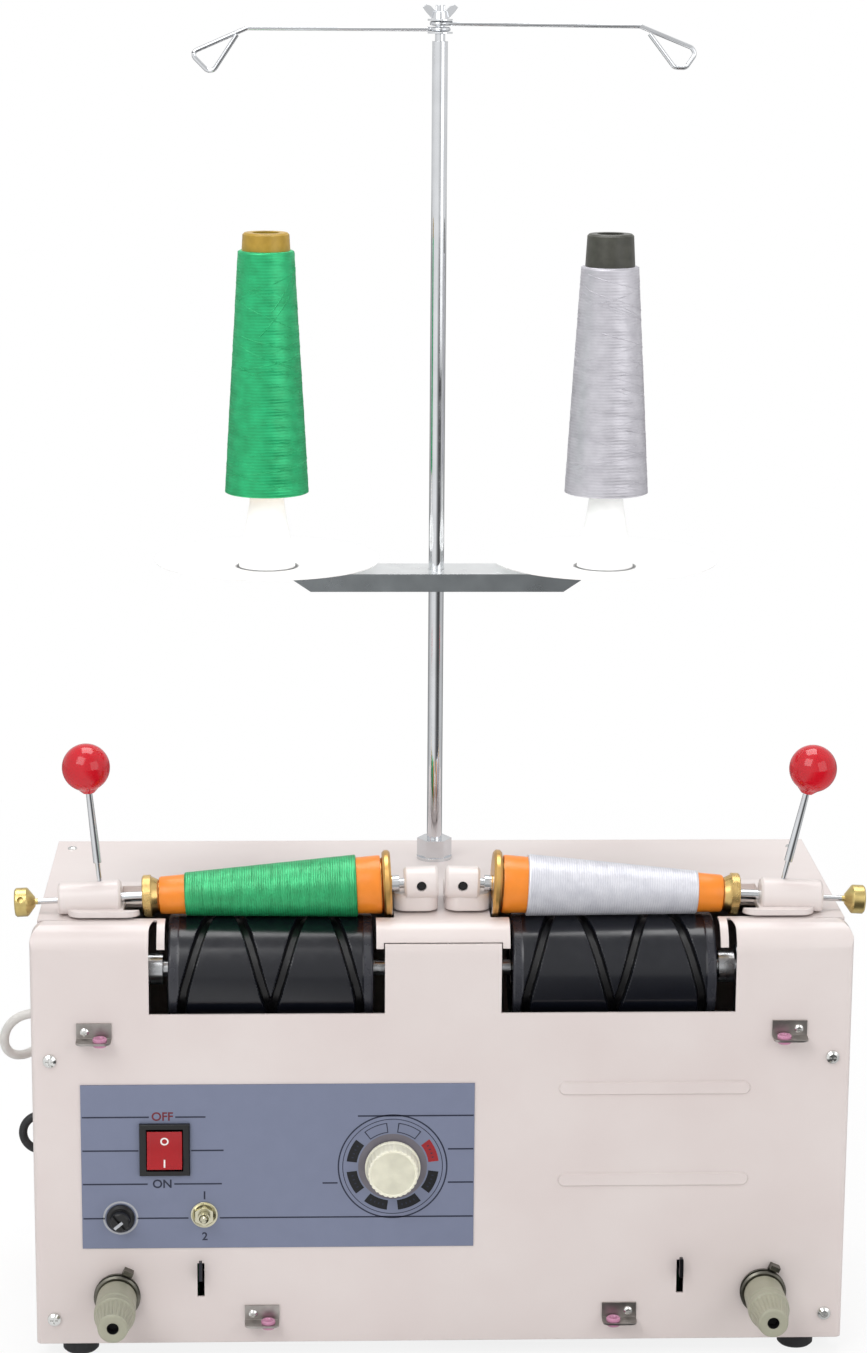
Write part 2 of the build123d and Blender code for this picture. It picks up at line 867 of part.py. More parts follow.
def toggle_switch():
    plane = forward(toggle_x, toggle_z, -panel_thickness)
    bush = turned(plane, [(-3, toggle_bush_radius), (toggle_bush_relief, toggle_bush_radius)])
    mouth = turned(plane, [(1.0, 1.6), (toggle_bush_relief + 1, 2.6)])
    switch_body = block(
        toggle_x - toggle_body_width / 2,
        toggle_x + toggle_body_width / 2,
        sheet + 0.8,
        sheet + 0.8 + toggle_body_depth,
        toggle_z - toggle_body_height / 2,
        toggle_z + toggle_body_height / 2,
    )
    switch = bush - mouth + switch_body
    for drop in (-4.4, 0, 4.4):
        top = sheet + 0.8 + toggle_body_depth
        switch += block(toggle_x - 1, toggle_x + 1, top, top + 4, toggle_z + drop - 0.4,
            toggle_z + drop + 0.4)
    washer = plane * (
        Cylinder(toggle_washer_radius, toggle_washer_height, align=(Align.CENTER, Align.CENTER, Align.MIN))
        - Cylinder(toggle_bush_radius + 0.1, 3 * toggle_washer_height)
    )
    hexagon = RegularPolygon(toggle_nut_flats / 2, 6, major_radius=False)
    nut = plane * Pos(0, 0, toggle_washer_height) * extrude(hexagon, amount=toggle_nut_height)
    nut -= plane * Cylinder(toggle_bush_radius + 0.1, 6 * toggle_nut_height)
    return [switch, washer, nut]


def toggle_lever():
    """The bat of the toggle, tipped up to its first place at rest."""
    plane = Plane(origin=(0, 0, 0), z_dir=(0, -1, 0))
    tip = toggle_lever_length
    bat = turned(
        plane,
        [
            (-1.6, toggle_lever_root_radius * 0.6),
            (-1.0, toggle_lever_root_radius),
            (0, toggle_lever_root_radius),
            (tip - 3, toggle_lever_tip_radius),
            (tip - 0.8, toggle_lever_tip_radius),
            (tip, toggle_lever_tip_radius * 0.55),
        ],
    )
    return Pos(*toggle_pivot()) * Rot(-toggle_angle, 0, 0) * bat


def toggle_pivot():
    return (toggle_x, -panel_thickness - 3.4, toggle_z)


def speed_knob():
    plane = forward(knob_x, knob_z, -panel_thickness)
    cap = turned(
        plane,
        [
            (knob_gap, knob_radius),
            (knob_gap + 2.4, knob_radius),
            (knob_gap + 3.6, knob_radius * 0.93),
            (knob_depth - 1.2, knob_tip_radius),
            (knob_depth, knob_tip_radius * 0.9),
        ],
    )
    hollow = turned(plane, [(0, control_bush_radius + 2.2),
        (control_bush_relief + 1.5, control_bush_radius + 2.2)])
    cap -= hollow
    groove = plane * Pos(0, knob_radius * 0.72, knob_depth) * Box(1.0, knob_radius * 0.5, 0.8)
    cap -= groove
    shaft = rod(
        (knob_x, control_body_depth * 0.4, knob_z), (0, -1, 0), knob_shaft_radius,
        control_body_depth * 0.4 + knob_depth - 2
    )
    cap += shaft
    return cap


def electrics():
    """The speed control under its knob, the board behind it and the stop switches."""
    plane = forward(knob_x, knob_z, sheet)
    can = turned(plane, [(-control_body_depth, control_body_radius), (0, control_body_radius)])
    bush = turned(plane, [(0, control_bush_radius), (sheet + control_bush_relief, control_bush_radius)])
    bore = plane * Pos(0, 0, -control_body_depth * 0.6) * Cylinder(
        knob_shaft_radius + axle_fit, control_body_depth + control_bush_relief + 10,
        align=(Align.CENTER, Align.CENTER, Align.MIN)
    )
    control = can + bush - bore
    board = block(
        board_left,
        board_left + board_width,
        board_y,
        board_y + board_thickness,
        foot_height + base_thickness,
        board_bottom + board_height,
    )
    for x, z, w, h in ((0.25, 0.7, 22, 14), (0.7, 0.62, 10, 10), (0.35, 0.35, 12, 8), (0.75, 0.3, 14, 9)):
        cx = board_left + x * board_width
        cz = board_bottom + z * board_height
        board += block(cx - w / 2, cx + w / 2, board_y - board_part_height, board_y, cz - h / 2, cz + h / 2)
    pieces = [control, board]
    for sign in (-1, 1):
        x = sign * feeler_x
        floor = foot_height + base_thickness
        half = feeler_thickness / 2 + feeler_ear_gap
        stand = block(
            x - half - feeler_ear_thickness,
            x + half + feeler_ear_thickness,
            feeler_pivot_y - 4,
            feeler_pivot_y + 16,
            floor,
            feeler_pivot_z + 4,
        )
        stand -= block(x - half, x + half, 0, 2 * feeler_pivot_y + 10, floor + 8, case_top)
        stand -= rod_x(x - 10, x + 10, feeler_pivot_y, feeler_pivot_z, feeler_pin_radius + axle_fit)
        pieces.append(stand)
    return pieces


def feeler(sign):
    """A thin stop lever: it passes out through its slot and falls when the thread breaks."""
    half = feeler_thickness / 2
    z = feeler_arm_z
    tip_y = -feeler_reach
    arm = Polyline(
        (feeler_pivot_y + 2, feeler_pivot_z - 2),
        (feeler_pivot_y + 2, feeler_pivot_z + 2),
        (feeler_pivot_y - 6, z),
        (tip_y + feeler_height, z),
        (tip_y + feeler_height, z + feeler_tip_rise),
        (tip_y, z + feeler_tip_rise),
        (tip_y, z - feeler_height),
        (feeler_pivot_y - 8, z - feeler_height),
        (feeler_pivot_y - 2, feeler_pivot_z - 2),
        close=True,
    )
    lever = extrude(Plane.YZ * make_face(arm), amount=half, both=True)
    lever += rod((-half, feeler_pivot_y, feeler_pivot_z), (1, 0, 0), feeler_boss_radius, feeler_thickness)
    pin_half = half + feeler_ear_gap + feeler_ear_thickness
    lever += rod((-pin_half, feeler_pivot_y, feeler_pivot_z), (1, 0, 0), feeler_pin_radius, 2 * pin_half)
    return Pos(sign * feeler_x, 0, 0) * lever


# ---- thread guides and tensioners ----
def guide_places():
    """The middle of each guide's lower edge, with its side."""
    places = []
    for sign in (-1, 1):
        places.append((sign * guide_upper_x, guide_upper_z, sign))
        places.append((sign * guide_lower_x, guide_lower_z, sign))
    return places


def guide_brackets():
    pieces = []
    for x, z, sign in guide_places():
        half = guide_width / 2
        leg = block(x - half, x + half, -guide_sheet, 0, z, z + guide_leg_height)
        tab = block(x - half, x + half, -guide_tab_depth, -guide_sheet, z, z + guide_sheet)
        tab = fillet(tab.edges().filter_by(Axis.Z).group_by(Axis.Y)[0], 3.4)
        angle = leg + tab
        angle -= front_hole(x + sign * guide_screw_offset, z + guide_leg_height / 2,
            guide_screw_shank_radius + 0.15)
        angle -= rod((x - sign * eyelet_offset, -eyelet_reach, z - 1), (0, 0, 1),
            eyelet_neck_radius + 0.05, 4 * guide_sheet)
        pieces.append(angle)
    return pieces


def guide_eyelets():
    pieces = []
    for x, z, sign in guide_places():
        low = z + guide_sheet / 2 - eyelet_height / 2
        lip = (eyelet_height - guide_sheet) / 2 - 0.05
        top = low + eyelet_height
        eyelet = turned_ring(
            upward(x - sign * eyelet_offset, -eyelet_reach),
            [
                (low, eyelet_bore_radius + 0.7),
                (low, eyelet_radius - 0.5),
                (low + 0.5, eyelet_radius),
                (low + lip, eyelet_radius),
                (low + lip, eyelet_neck_radius),
                (top - lip, eyelet_neck_radius),
                (top - lip, eyelet_radius),
                (top - 0.5, eyelet_radius),
                (top, eyelet_radius - 0.5),
                (top, eyelet_bore_radius + 0.7),
                (top - 1.2, eyelet_bore_radius),
                (low + 1.2, eyelet_bore_radius),
            ],
        )
        pieces.append(eyelet)
    return pieces


def tension_stack():
    """Distances from the face along a tensioner: ear plate, discs, collar and knob."""
    plate_end = ear_plate_thickness
    disc_end = plate_end + 2 * (tension_disc_thickness + tension_disc_dish) + 0.4
    collar_start = disc_end
    collar_end = collar_start + tension_collar_length
    knob_start = collar_end + tension_piece_gap
    knob_end = knob_start + tension_knob_length
    return plate_end, disc_end, collar_start, collar_end, knob_start, knob_end


def tension_posts():
    """The stud with its nut inside the case, and the plastic collar that it carries."""
    plate_end, disc_end, collar_start, collar_end, knob_start, knob_end = tension_stack()
    pieces = []
    for sign in (-1, 1):
        plane = forward(sign * tension_x, tension_z)
        post = turned(
            plane,
            [
                (-sheet - 5.0, tension_stud_radius),
                (-sheet - 4.0, tension_stud_radius),
                (-sheet - 4.0, 2.2 * tension_stud_radius),
                (-sheet, 2.2 * tension_stud_radius),
                (-sheet, tension_stud_radius),
                (collar_start, tension_stud_radius),
                (collar_start, tension_collar_radius - 1.0),
                (collar_start + 1.0, tension_collar_radius),
                (collar_end - 1.2, tension_collar_front_radius),
                (collar_end, tension_collar_front_radius - 0.8),
                (collar_end, tension_stud_radius),
                (knob_end - tension_knob_bore_depth - 1.0, tension_stud_radius),
            ],
        )
        pieces.append(post)
    return pieces


def tension_discs():
    plate_end, disc_end, collar_start, collar_end, knob_start, knob_end = tension_stack()
    pieces = []
    for sign in (-1, 1):
        plane = forward(sign * tension_x, tension_z)
        ear_plate = plane * Cylinder(
            ear_plate_radius, ear_plate_thickness, align=(Align.CENTER, Align.CENTER, Align.MIN)
        )
        for side in (-1, 1):
            along = Rot(0, 0, 90 + side * (90 - ear_angle))
            ear = along * Pos(ear_reach / 2, 0, ear_plate_thickness / 2) * Box(ear_reach, ear_width,
                ear_plate_thickness)
            tip = along * Pos(ear_reach - 1.2, 0, ear_plate_thickness + 2.0) * Box(2.4, ear_width, 4.0)
            ear_plate += plane * ear
            ear_plate += plane * tip
        ear_plate -= plane * Cylinder(tension_stud_radius + 0.1, 6 * ear_plate_thickness)
        pieces.append(ear_plate)
        thick = tension_disc_thickness
        dish = tension_disc_dish
        first = plate_end + 0.1
        hole = tension_stud_radius + 0.1
        rear_disc = turned_ring(
            plane,
            [
                (first + dish, hole),
                (first + dish, 5.0),
                (first, tension_disc_radius - 2.0),
                (first, tension_disc_radius - 1.0),
                (first + thick, tension_disc_radius),
                (first + thick, tension_disc_radius - 2.0),
                (first + thick + dish, 5.0),
                (first + thick + dish, hole),
            ],
        )
        second = first + 2 * thick + 2 * dish + 0.15
        front_disc = turned_ring(
            plane,
            [
                (second - dish, hole),
                (second - dish, 5.0),
                (second, tension_disc_radius - 2.0),
                (second, tension_disc_radius - 1.0),
                (second - thick, tension_disc_radius),
                (second - thick, tension_disc_radius - 2.0),
                (second - thick - dish, 5.0),
                (second - thick - dish, hole),
            ],
        )
        pieces.append(rear_disc)
        pieces.append(front_disc)
    return pieces


def tension_knob(sign):
    plate_end, disc_end, collar_start, collar_end, knob_start, knob_end = tension_stack()
    plane = forward(sign * tension_x, tension_z)
    knob = turned(
        plane,
        [
            (knob_start, tension_knob_radius - 0.9),
            (knob_start + 1.2, tension_knob_radius),
            (knob_start + 5.0, tension_knob_radius - 0.5),
            (knob_end - 0.8, tension_knob_tip_radius),
            (knob_end, tension_knob_tip_radius - 0.8),
        ],
    )
    stud_bore = turned(
        plane,
        [(knob_start - 1, tension_stud_radius + axle_fit),
        (knob_end - tension_knob_bore_depth, tension_stud_radius + axle_fit)],
    )
    mouth = turned(
        plane,
        [(knob_end - tension_knob_bore_depth + 1.0, tension_knob_bore_radius),
        (knob_end + 1, tension_knob_bore_radius)],
    )
    dimple = plane * Pos(-4.3, -3.4, knob_end) * Cylinder(0.8, 3.0)
    return knob - stud_bore - mouth - dimple


# ---- drum line ----
def drum(sign):
    """A traverse drum of moulded black plastic, its ends recessed round the hub."""
    inner = drum_inner_x
    outer = drum_inner_x + drum_length
    plane = Plane(origin=(0, drum_y, drum_z), z_dir=(sign, 0, 0))
    cut = drum_end_chamfer
    body = turned(
        plane, [(inner, drum_radius - cut), (inner + cut, drum_radius), (outer - cut, drum_radius),
        (outer, drum_radius - cut)]
    )
    bore = plane * Pos(0, 0, inner - 1) * Cylinder(
        axle_radius + axle_fit, drum_length + 2, align=(Align.CENTER, Align.CENTER, Align.MIN)
    )
    for end, direction in ((inner, 1), (outer, -1)):
        start = end - direction
        stop = end + direction * drum_hub_depth
        body -= turned_ring(
            plane,
            [(start, drum_hub_radius), (start, drum_radius - 5), (stop, drum_radius - 5),
            (stop, drum_hub_radius)],
        )
    return body - bore


def drum_axle():
    """The common shaft of both drums, its collars and the driven pulley in the middle."""
    end = upright_outer_x + upright_thickness + axle_end_margin
    shaft = rod_x(-end, end, drum_y, drum_z, axle_radius)
    pulley = grooved_pulley(drum_y, drum_z, drum_pulley_radius)
    pulley -= rod_x(-pulley_width, pulley_width, drum_y, drum_z, axle_radius)
    pieces = [shaft, pulley]
    for sign in (-1, 1):
        start = sign * (upright_outer_x + upright_thickness / 2 - bearing_length / 2 - collar_gap)
        ring = rod_x(start, start - sign * collar_length, drum_y, drum_z, collar_radius)
        ring -= rod_x(-end, end, drum_y, drum_z, axle_radius)
        pieces.append(ring)
    return pieces


def grooved_pulley(y, z, radius):
    """A pulley across X = 0 with a groove for a round belt."""
    half = pulley_width / 2
    floor = radius - pulley_groove_depth
    open_half = belt_radius + belt_clearance + 0.6
    floor_half = belt_radius + belt_clearance
    return turned(
        Plane(origin=(0, y, z), z_dir=(1, 0, 0)),
        [
            (-half, radius),
            (-open_half, radius),
            (-floor_half, floor),
            (floor_half, floor),
            (open_half, radius),
            (half, radius),
        ],
    )


def belt_path_radius(pulley_radius):
    return pulley_radius - pulley_groove_depth + belt_clearance + belt_radius


def belt():
    """A round belt: two straight runs tangent to the two pulleys, closed by an arc round each."""
    high = belt_path_radius(drum_pulley_radius)
    low = belt_path_radius(motor_pulley_radius)
    dy = motor_y - drum_y
    dz = motor_z - drum_z
    span = math.hypot(dy, dz)
    heading = math.atan2(dz, dy)
    swing = math.acos((high - low) / span)
    points = []
    for angle in (heading + swing, heading - swing):
        normal = (math.cos(angle), math.sin(angle))
        points.append((drum_y + high * normal[0], drum_z + high * normal[1]))
        points.append((motor_y + low * normal[0], motor_z + low * normal[1]))
    high_far = (drum_y - high * math.cos(heading), drum_z - high * math.sin(heading))
    low_far = (motor_y + low * math.cos(heading), motor_z + low * math.sin(heading))
    loop = Plane.YZ * Wire(
        [
            Line(points[0], points[1]).edge(),
            ThreePointArc(points[1], low_far, points[3]).edge(),
            Line(points[3], points[2]).edge(),
            ThreePointArc(points[2], high_far, points[0]).edge(),
        ]
    )
    start = loop @ 0
    section = Plane(origin=start, z_dir=loop % 0) * Circle(belt_radius)
    return sweep(section, path=loop)


def drum_brackets():
    """Two bearing frames: a pair of uprights each, joined by a web and standing on the base."""
    floor = foot_height + base_thickness
    pieces = []
    for sign in (-1, 1):
        frame_solid = None
        for x in (upright_inner_x, upright_outer_x):
            near = sign * x
            far = sign * (x + upright_thickness)
            plate = block(near, far, drum_y - upright_width / 2, drum_y + upright_width / 2, floor, drum_z)
            plate += rod_x(near, far, drum_y, drum_z, upright_head_radius)
            plate -= rod_x(near - sign, far + sign, drum_y, drum_z, bearing_radius)
            frame_solid = plate if frame_solid is None else frame_solid + plate
        web_inner = sign * (upright_inner_x + upright_thickness)
        web_outer = sign * upright_outer_x
        frame_solid += block(
            web_inner,
            web_outer,
            drum_y - upright_width / 2,
            drum_y + upright_width / 2,
            upright_web_z,
            upright_web_z + upright_web_thickness,
        )
        frame_solid += block(
            sign * upright_outer_x,
            sign * (upright_outer_x - upright_foot),
            drum_y - upright_width / 2,
            drum_y + upright_width / 2,
            floor,
            floor + upright_thickness,
        )
        frame_solid += block(
            web_inner,
            web_inner + sign * upright_foot,
            drum_y - upright_width / 2,
            drum_y + upright_width / 2,
            floor,
            floor + upright_thickness,
        )
        pieces.append(frame_solid)
    return pieces


def drum_bearings():
    pieces = []
    for sign in (-1, 1):
        for x in (upright_inner_x, upright_outer_x):
            middle = sign * (x + upright_thickness / 2)
            half = bearing_length / 2
            ring = rod_x(middle - half, middle + half, drum_y, drum_z, bearing_radius)
            ring -= rod_x(middle - bearing_length, middle + bearing_length, drum_y, drum_z,
                axle_radius + axle_fit)
            pieces.append(ring)
    return pieces


def motor():
    """The drive motor, lying along X behind the drums on its two feet."""
    start = motor_start_x
    end = motor_start_x + motor_length
    plane = Plane(origin=(0, motor_y, motor_z), z_dir=(1, 0, 0))
    bell = motor_end_bell
    body = turned(
        plane,
        [
            (start - motor_boss_length, motor_boss_radius),
            (start, motor_boss_radius),
            (start, motor_radius * 0.8),
            (start + 3, motor_radius * 0.94),
            (start + bell, motor_radius * 0.94),
            (start + bell, motor_radius),
            (end - bell, motor_radius),
            (end - bell, motor_radius * 0.94),
            (end - 3, motor_radius * 0.94),
            (end, motor_radius * 0.8),
        ],
    )
    floor = foot_height + base_thickness
    half = motor_foot_width / 2
    for x in (start + bell + 4, end - bell - 14):
        body += block(x, x + 10, motor_y - half, motor_y + half, floor, motor_z - motor_radius * 0.7)
    bore = plane * Pos(0, 0, start - motor_boss_length - 1) * Cylinder(
        motor_shaft_radius + axle_fit, motor_shaft_depth, align=(Align.CENTER, Align.CENTER, Align.MIN)
    )
    return body - bore


def motor_pulley():
    """The motor's shaft end with the small driving pulley."""
    shaft_end = motor_start_x - motor_boss_length - 1 + motor_shaft_depth - 1
    shaft = rod_x(-pulley_width / 2 - 1, shaft_end, motor_y, motor_z, motor_shaft_radius)
    return grooved_pulley(motor_y, motor_z, motor_pulley_radius) + shaft


# ---- winding heads ----
def head_plane(sign, along=0.0):
    """Z runs outward along one head's spindle from the big end of the cone; X points to the back."""
    outward = (sign * math.cos(taper), 0, -math.sin(taper))
    origin = (
        sign * tube_inner_x + outward[0] * along,
        drum_y,
        spindle_z + outward[2] * along,
    )
    return Plane(origin=origin, x_dir=(0, 1, 0), z_dir=outward)


def along_for(x):
    """The distance along a spindle at a given distance from the middle."""
    return (x - tube_inner_x) / math.cos(taper)


def along_to_x(along):
    """The distance from the middle at a given distance along a spindle."""
    return tube_inner_x + along * math.cos(taper)


def cone_radius(base_radius, along):
    """A cone's radius at a distance from its big end."""
    return base_radius - math.tan(taper) * along


def cone_tube(sign):
    plane = head_plane(sign)
    rim = 1.0
    return turned_ring(
        plane,
        [
            (0, tube_big_radius - tube_wall),
            (0, tube_big_radius - 0.3),
            (rim, cone_radius(tube_big_radius, rim)),
            (tube_length - rim, cone_radius(tube_big_radius, tube_length - rim)),
            (tube_length, tube_small_radius - 0.4),
            (tube_length, tube_small_radius - tube_wall),
        ],
    )


def cone_thread(sign):
    """The yarn on one cone, as one closed body round the tube."""
    plane = head_plane(sign)
    inner = thread_seat_gap
    return turned_ring(
        plane,
        [
            (thread_start, cone_radius(tube_big_radius, thread_start) + inner),
            (thread_start + 0.3, cone_radius(thread_big_radius, thread_start + 0.3)),
            (thread_end - 0.3, cone_radius(thread_big_radius, thread_end - 0.3)),
            (thread_end, cone_radius(tube_big_radius, thread_end) + inner),
        ],
    )


def large_chuck(sign):
    """The turned brass flange with the hub that fills the cone's big end, and its spindle."""
    plane = head_plane(sign)
    back = -flange_tube_gap - flange_thickness
    edge = flange_edge_radius
    hub_start_radius = tube_big_radius - tube_wall - hub_clearance
    hub_end_radius = cone_radius(hub_start_radius, flange_hub_length)
    spindle_end = along_for(centre_boss_inner_x) + 2.0
    return turned(
        plane,
        [
            (spindle_end, spindle_radius),
            (back - spindle_collar_length, spindle_radius),
            (back - spindle_collar_length, spindle_collar_radius),
            (back, spindle_collar_radius),
            (back, flange_radius - edge),
            (back + edge, flange_radius),
            (-flange_tube_gap - edge, flange_radius),
            (-flange_tube_gap, flange_radius - edge),
            (-flange_tube_gap, hub_start_radius + 0.6),
            (-hub_clearance, hub_start_radius),
            (flange_hub_length - 2, cone_radius(hub_start_radius, flange_hub_length - 2)),
            (flange_hub_length, hub_end_radius - 2),
        ],
    )


def small_chuck_front():
    """Where the small chuck's disc starts outside the cone."""
    return small_chuck_end - small_chuck_disc


def small_chuck(sign):
    plane = head_plane(sign)
    start = tube_length - small_chuck_nose_length
    seat = tube_length + contact_gap
    disc = small_chuck_front()
    end = disc + small_chuck_disc
    body = turned(
        plane,
        [
            (start, small_chuck_nose_radius - 1.2),
            (start + 1.2, small_chuck_nose_radius),
            (seat, small_chuck_nose_radius),
            (seat, small_chuck_root_radius),
            (disc, small_chuck_radius - 0.6),
            (disc + 0.6, small_chuck_radius),
            (end - 0.6, small_chuck_radius),
            (end, small_chuck_radius - 0.6),
        ],
    )
    bore = plane * Pos(0, 0, start + 2.0) * Cylinder(
        plunger_radius + axle_fit, end, align=(Align.CENTER, Align.CENTER, Align.MIN)
    )
    return body - bore


def plunger(sign):
    """The sprung rod that carries the small chuck, with the brass pull knob outside."""
    plane = head_plane(sign)
    rod_start = tube_length - small_chuck_nose_length + 3.0
    boss_end = outer_boss_start + outer_boss_length
    collar_start = outer_boss_start + chamber_wall + contact_gap
    collar_end = collar_start + plunger_collar_length
    neck_start = boss_end - chamber_wall - plunger_travel - 4.0
    knob_start = boss_end + knob_neck_length
    knob_end = knob_start + pull_knob_taper + pull_knob_length
    bar = turned(
        plane,
        [
            (rod_start, plunger_radius),
            (collar_start, plunger_radius),
            (collar_start, plunger_collar_radius),
            (collar_end, plunger_collar_radius),
            (collar_end, plunger_radius),
            (neck_start, plunger_radius),
            (neck_start, plunger_neck_radius),
            (knob_start, plunger_neck_radius),
            (knob_start, plunger_neck_radius + 1.0),
            (knob_start + pull_knob_taper, pull_knob_radius - 0.4),
            (knob_start + pull_knob_taper + 0.6, pull_knob_radius),
            (knob_end - 0.8, pull_knob_radius),
            (knob_end, pull_knob_radius - 0.8),
        ],
    )
    middle = knob_start + pull_knob_taper + pull_knob_length / 2
    hole = plane * Rot(0, 0, -90 + sign * 65) * Pos(pull_knob_radius, 0, middle) * Rot(0, 90, 0) * Cylinder(
        pull_knob_hole_radius, 2 * pull_knob_hole_depth
    )
    return bar - hole


def foot_block(sign, inner_x, outer_x, front_y, top_z):
    """A flat foot of the cradle, its front edge rounded in plan."""
    length = abs(outer_x - inner_x)
    shape = RectangleRounded(length, 2 * (bar_back_y - front_y), min(foot_front_radius, length / 2 - 1))
    middle = sign * (inner_x + outer_x) / 2
    slab = extrude(Pos(middle, bar_back_y, foot_bottom_z) * shape, amount=top_z - foot_bottom_z)
    return slab & block(-case_width, case_width, 0, bar_back_y, foot_bottom_z, top_z)


def cradle(sign):
    """The cast swing arm of one head: outer and centre bosses, their feet and the bar behind."""
    plane = head_plane(sign)
    boss_end = outer_boss_start + outer_boss_length
    edge = boss_edge_radius
    outer_boss = turned(
        plane,
        [
            (outer_boss_start, outer_boss_radius - edge),
            (outer_boss_start + edge, outer_boss_radius),
            (boss_end - edge, outer_boss_radius),
            (boss_end, outer_boss_radius - edge),
        ],
    )
    centre_from = along_for(centre_boss_inner_x)
    centre_to = along_for(centre_boss_outer_x)
    centre_boss = turned(
        plane,
        [
            (centre_from, centre_boss_radius - edge),
            (centre_from + edge, centre_boss_radius),
            (centre_to - edge, centre_boss_radius),
            (centre_to, centre_boss_radius - edge),
        ],
    )
    arm = outer_boss + centre_boss
    arm &= block(-case_width, case_width, 0, case_depth, foot_bottom_z, 2 * case_top)
    arm += foot_block(sign, outer_foot_inner_x, outer_foot_outer_x, foot_front_y, outer_foot_top_z)
    arm += foot_block(sign, centre_boss_inner_x, inner_foot_outer_x, inner_foot_front_y, inner_foot_top_z)
    arm += block(
        sign * centre_boss_inner_x, sign * outer_foot_outer_x, bar_front_y, bar_back_y, foot_bottom_z,
        bar_top_z
    )
    arm += block(
        sign * (outer_foot_inner_x + 10), sign * outer_foot_outer_x, drum_y, bar_back_y, outer_foot_top_z,
        bar_top_z
    )
    for ear in (pivot_ear_x, pivot_ear_x + pivot_ear_spacing):
        near = ear + pivot_ear_thickness + pivot_gap
        if ear > pivot_ear_x:
            near = ear - pivot_gap - pivot_boss_length
        far = near + pivot_boss_length
        arm += rod_x(sign * near, sign * far, pivot_y, pivot_z, pivot_boss_radius)
        web_low = pivot_z - pivot_web_height / 2
        arm += block(
            sign * near, sign * far, bar_front_y, pivot_y, web_low, web_low + pivot_web_height
        )
    arm -= rod_x(-case_width, case_width, pivot_y, pivot_z, pivot_pin_radius + axle_fit)
    chamber = plane * Pos(0, 0, outer_boss_start + chamber_wall) * Cylinder(
        spring_chamber_radius, outer_boss_length - 2 * chamber_wall,
        align=(Align.CENTER, Align.CENTER, Align.MIN)
    )
    inner_bore = plane * Pos(0, 0, outer_boss_start - 1) * Cylinder(
        plunger_radius + axle_fit, chamber_wall + 2, align=(Align.CENTER, Align.CENTER, Align.MIN)
    )
    outer_bore = plane * Pos(0, 0, boss_end - chamber_wall - 1) * Cylinder(
        plunger_neck_radius + axle_fit, chamber_wall + 2, align=(Align.CENTER, Align.CENTER, Align.MIN)
    )
    spindle_bore = plane * Pos(0, 0, centre_from + 1.0) * Cylinder(
        spindle_radius + axle_fit, centre_to - centre_from + 6, align=(Align.CENTER, Align.CENTER, Align.MIN)
    )
    chuck_room = plane * Pos(0, 0, small_chuck_front() - chuck_relief_gap) * Cylinder(
        small_chuck_radius + chuck_relief_gap,
        small_chuck_disc + plunger_travel + 2 * chuck_relief_gap,
        align=(Align.CENTER, Align.CENTER, Align.MIN),
    )
    arm = arm - chuck_room - chamber - inner_bore - outer_bore - spindle_bore
    hole_x = (centre_boss_inner_x + centre_boss_outer_x) / 2
    hole_z = head_plane(sign, along_for(hole_x)).origin.Z
    arm -= rod(
        (sign * hole_x, drum_y - centre_boss_radius - 1, hole_z), (0, 1, 0), centre_screw_hole_radius,
        1 + centre_screw_hole_depth
    )
    arm -= lever_stud_hole(sign)
    return arm


def lever_plane(sign):
    """Z runs up one lever from the top of its boss."""
    lean = math.radians(lever_lean_left if sign < 0 else lever_lean_right)
    base = head_plane(sign, along_for(lever_foot_x)).origin
    direction = (sign * math.sin(lean), 0, math.cos(lean))
    seat = outer_boss_radius - 0.4
    return Plane(origin=(base.X + direction[0] * seat, drum_y, base.Z + direction[2] * seat), z_dir=direction)


def lever_stud_hole(sign):
    seat = min(stud_seat, outer_boss_radius - spring_chamber_radius - 0.8)
    return lever_plane(sign) * Pos(0, 0, -seat) * Cylinder(
        stud_radius + 0.02, seat + 5, align=(Align.CENTER, Align.CENTER, Align.MIN)
    )


def lever_rod(sign):
    seat = min(stud_seat, outer_boss_radius - spring_chamber_radius - 0.8)
    top = stud_length + lever_length
    return turned(
        lever_plane(sign),
        [
            (-seat + 0.05, stud_radius),
            (stud_length, stud_radius),
            (stud_length, lever_radius_low),
            (top, lever_radius_high),
            (top + ball_socket_depth, lever_radius_high),
        ],
    )


def lever_ball(sign):
    """A round ball drawn down to a short neck, bored for the rod."""
    top = stud_length + lever_length
    neck = top - ball_neck_length
    middle = top + math.sqrt(ball_radius**2 - ball_neck_radius**2)
    plane = lever_plane(sign)
    sphere = plane * Pos(0, 0, middle) * Sphere(ball_radius)
    collar = turned(
        plane,
        [
            (neck, ball_neck_radius - 0.5),
            (neck + 0.5, ball_neck_radius),
            (middle - ball_radius * 0.62, ball_radius * 0.74),
            (middle - ball_radius * 0.3, ball_radius * 0.7),
        ],
    )
    bore = plane * Pos(0, 0, neck - 1) * Cylinder(
        lever_radius_high + 0.2, ball_neck_length + 1 + ball_socket_depth + 0.05,
        align=(Align.CENTER, Align.CENTER, Align.MIN)
    )
    return sphere + collar - bore


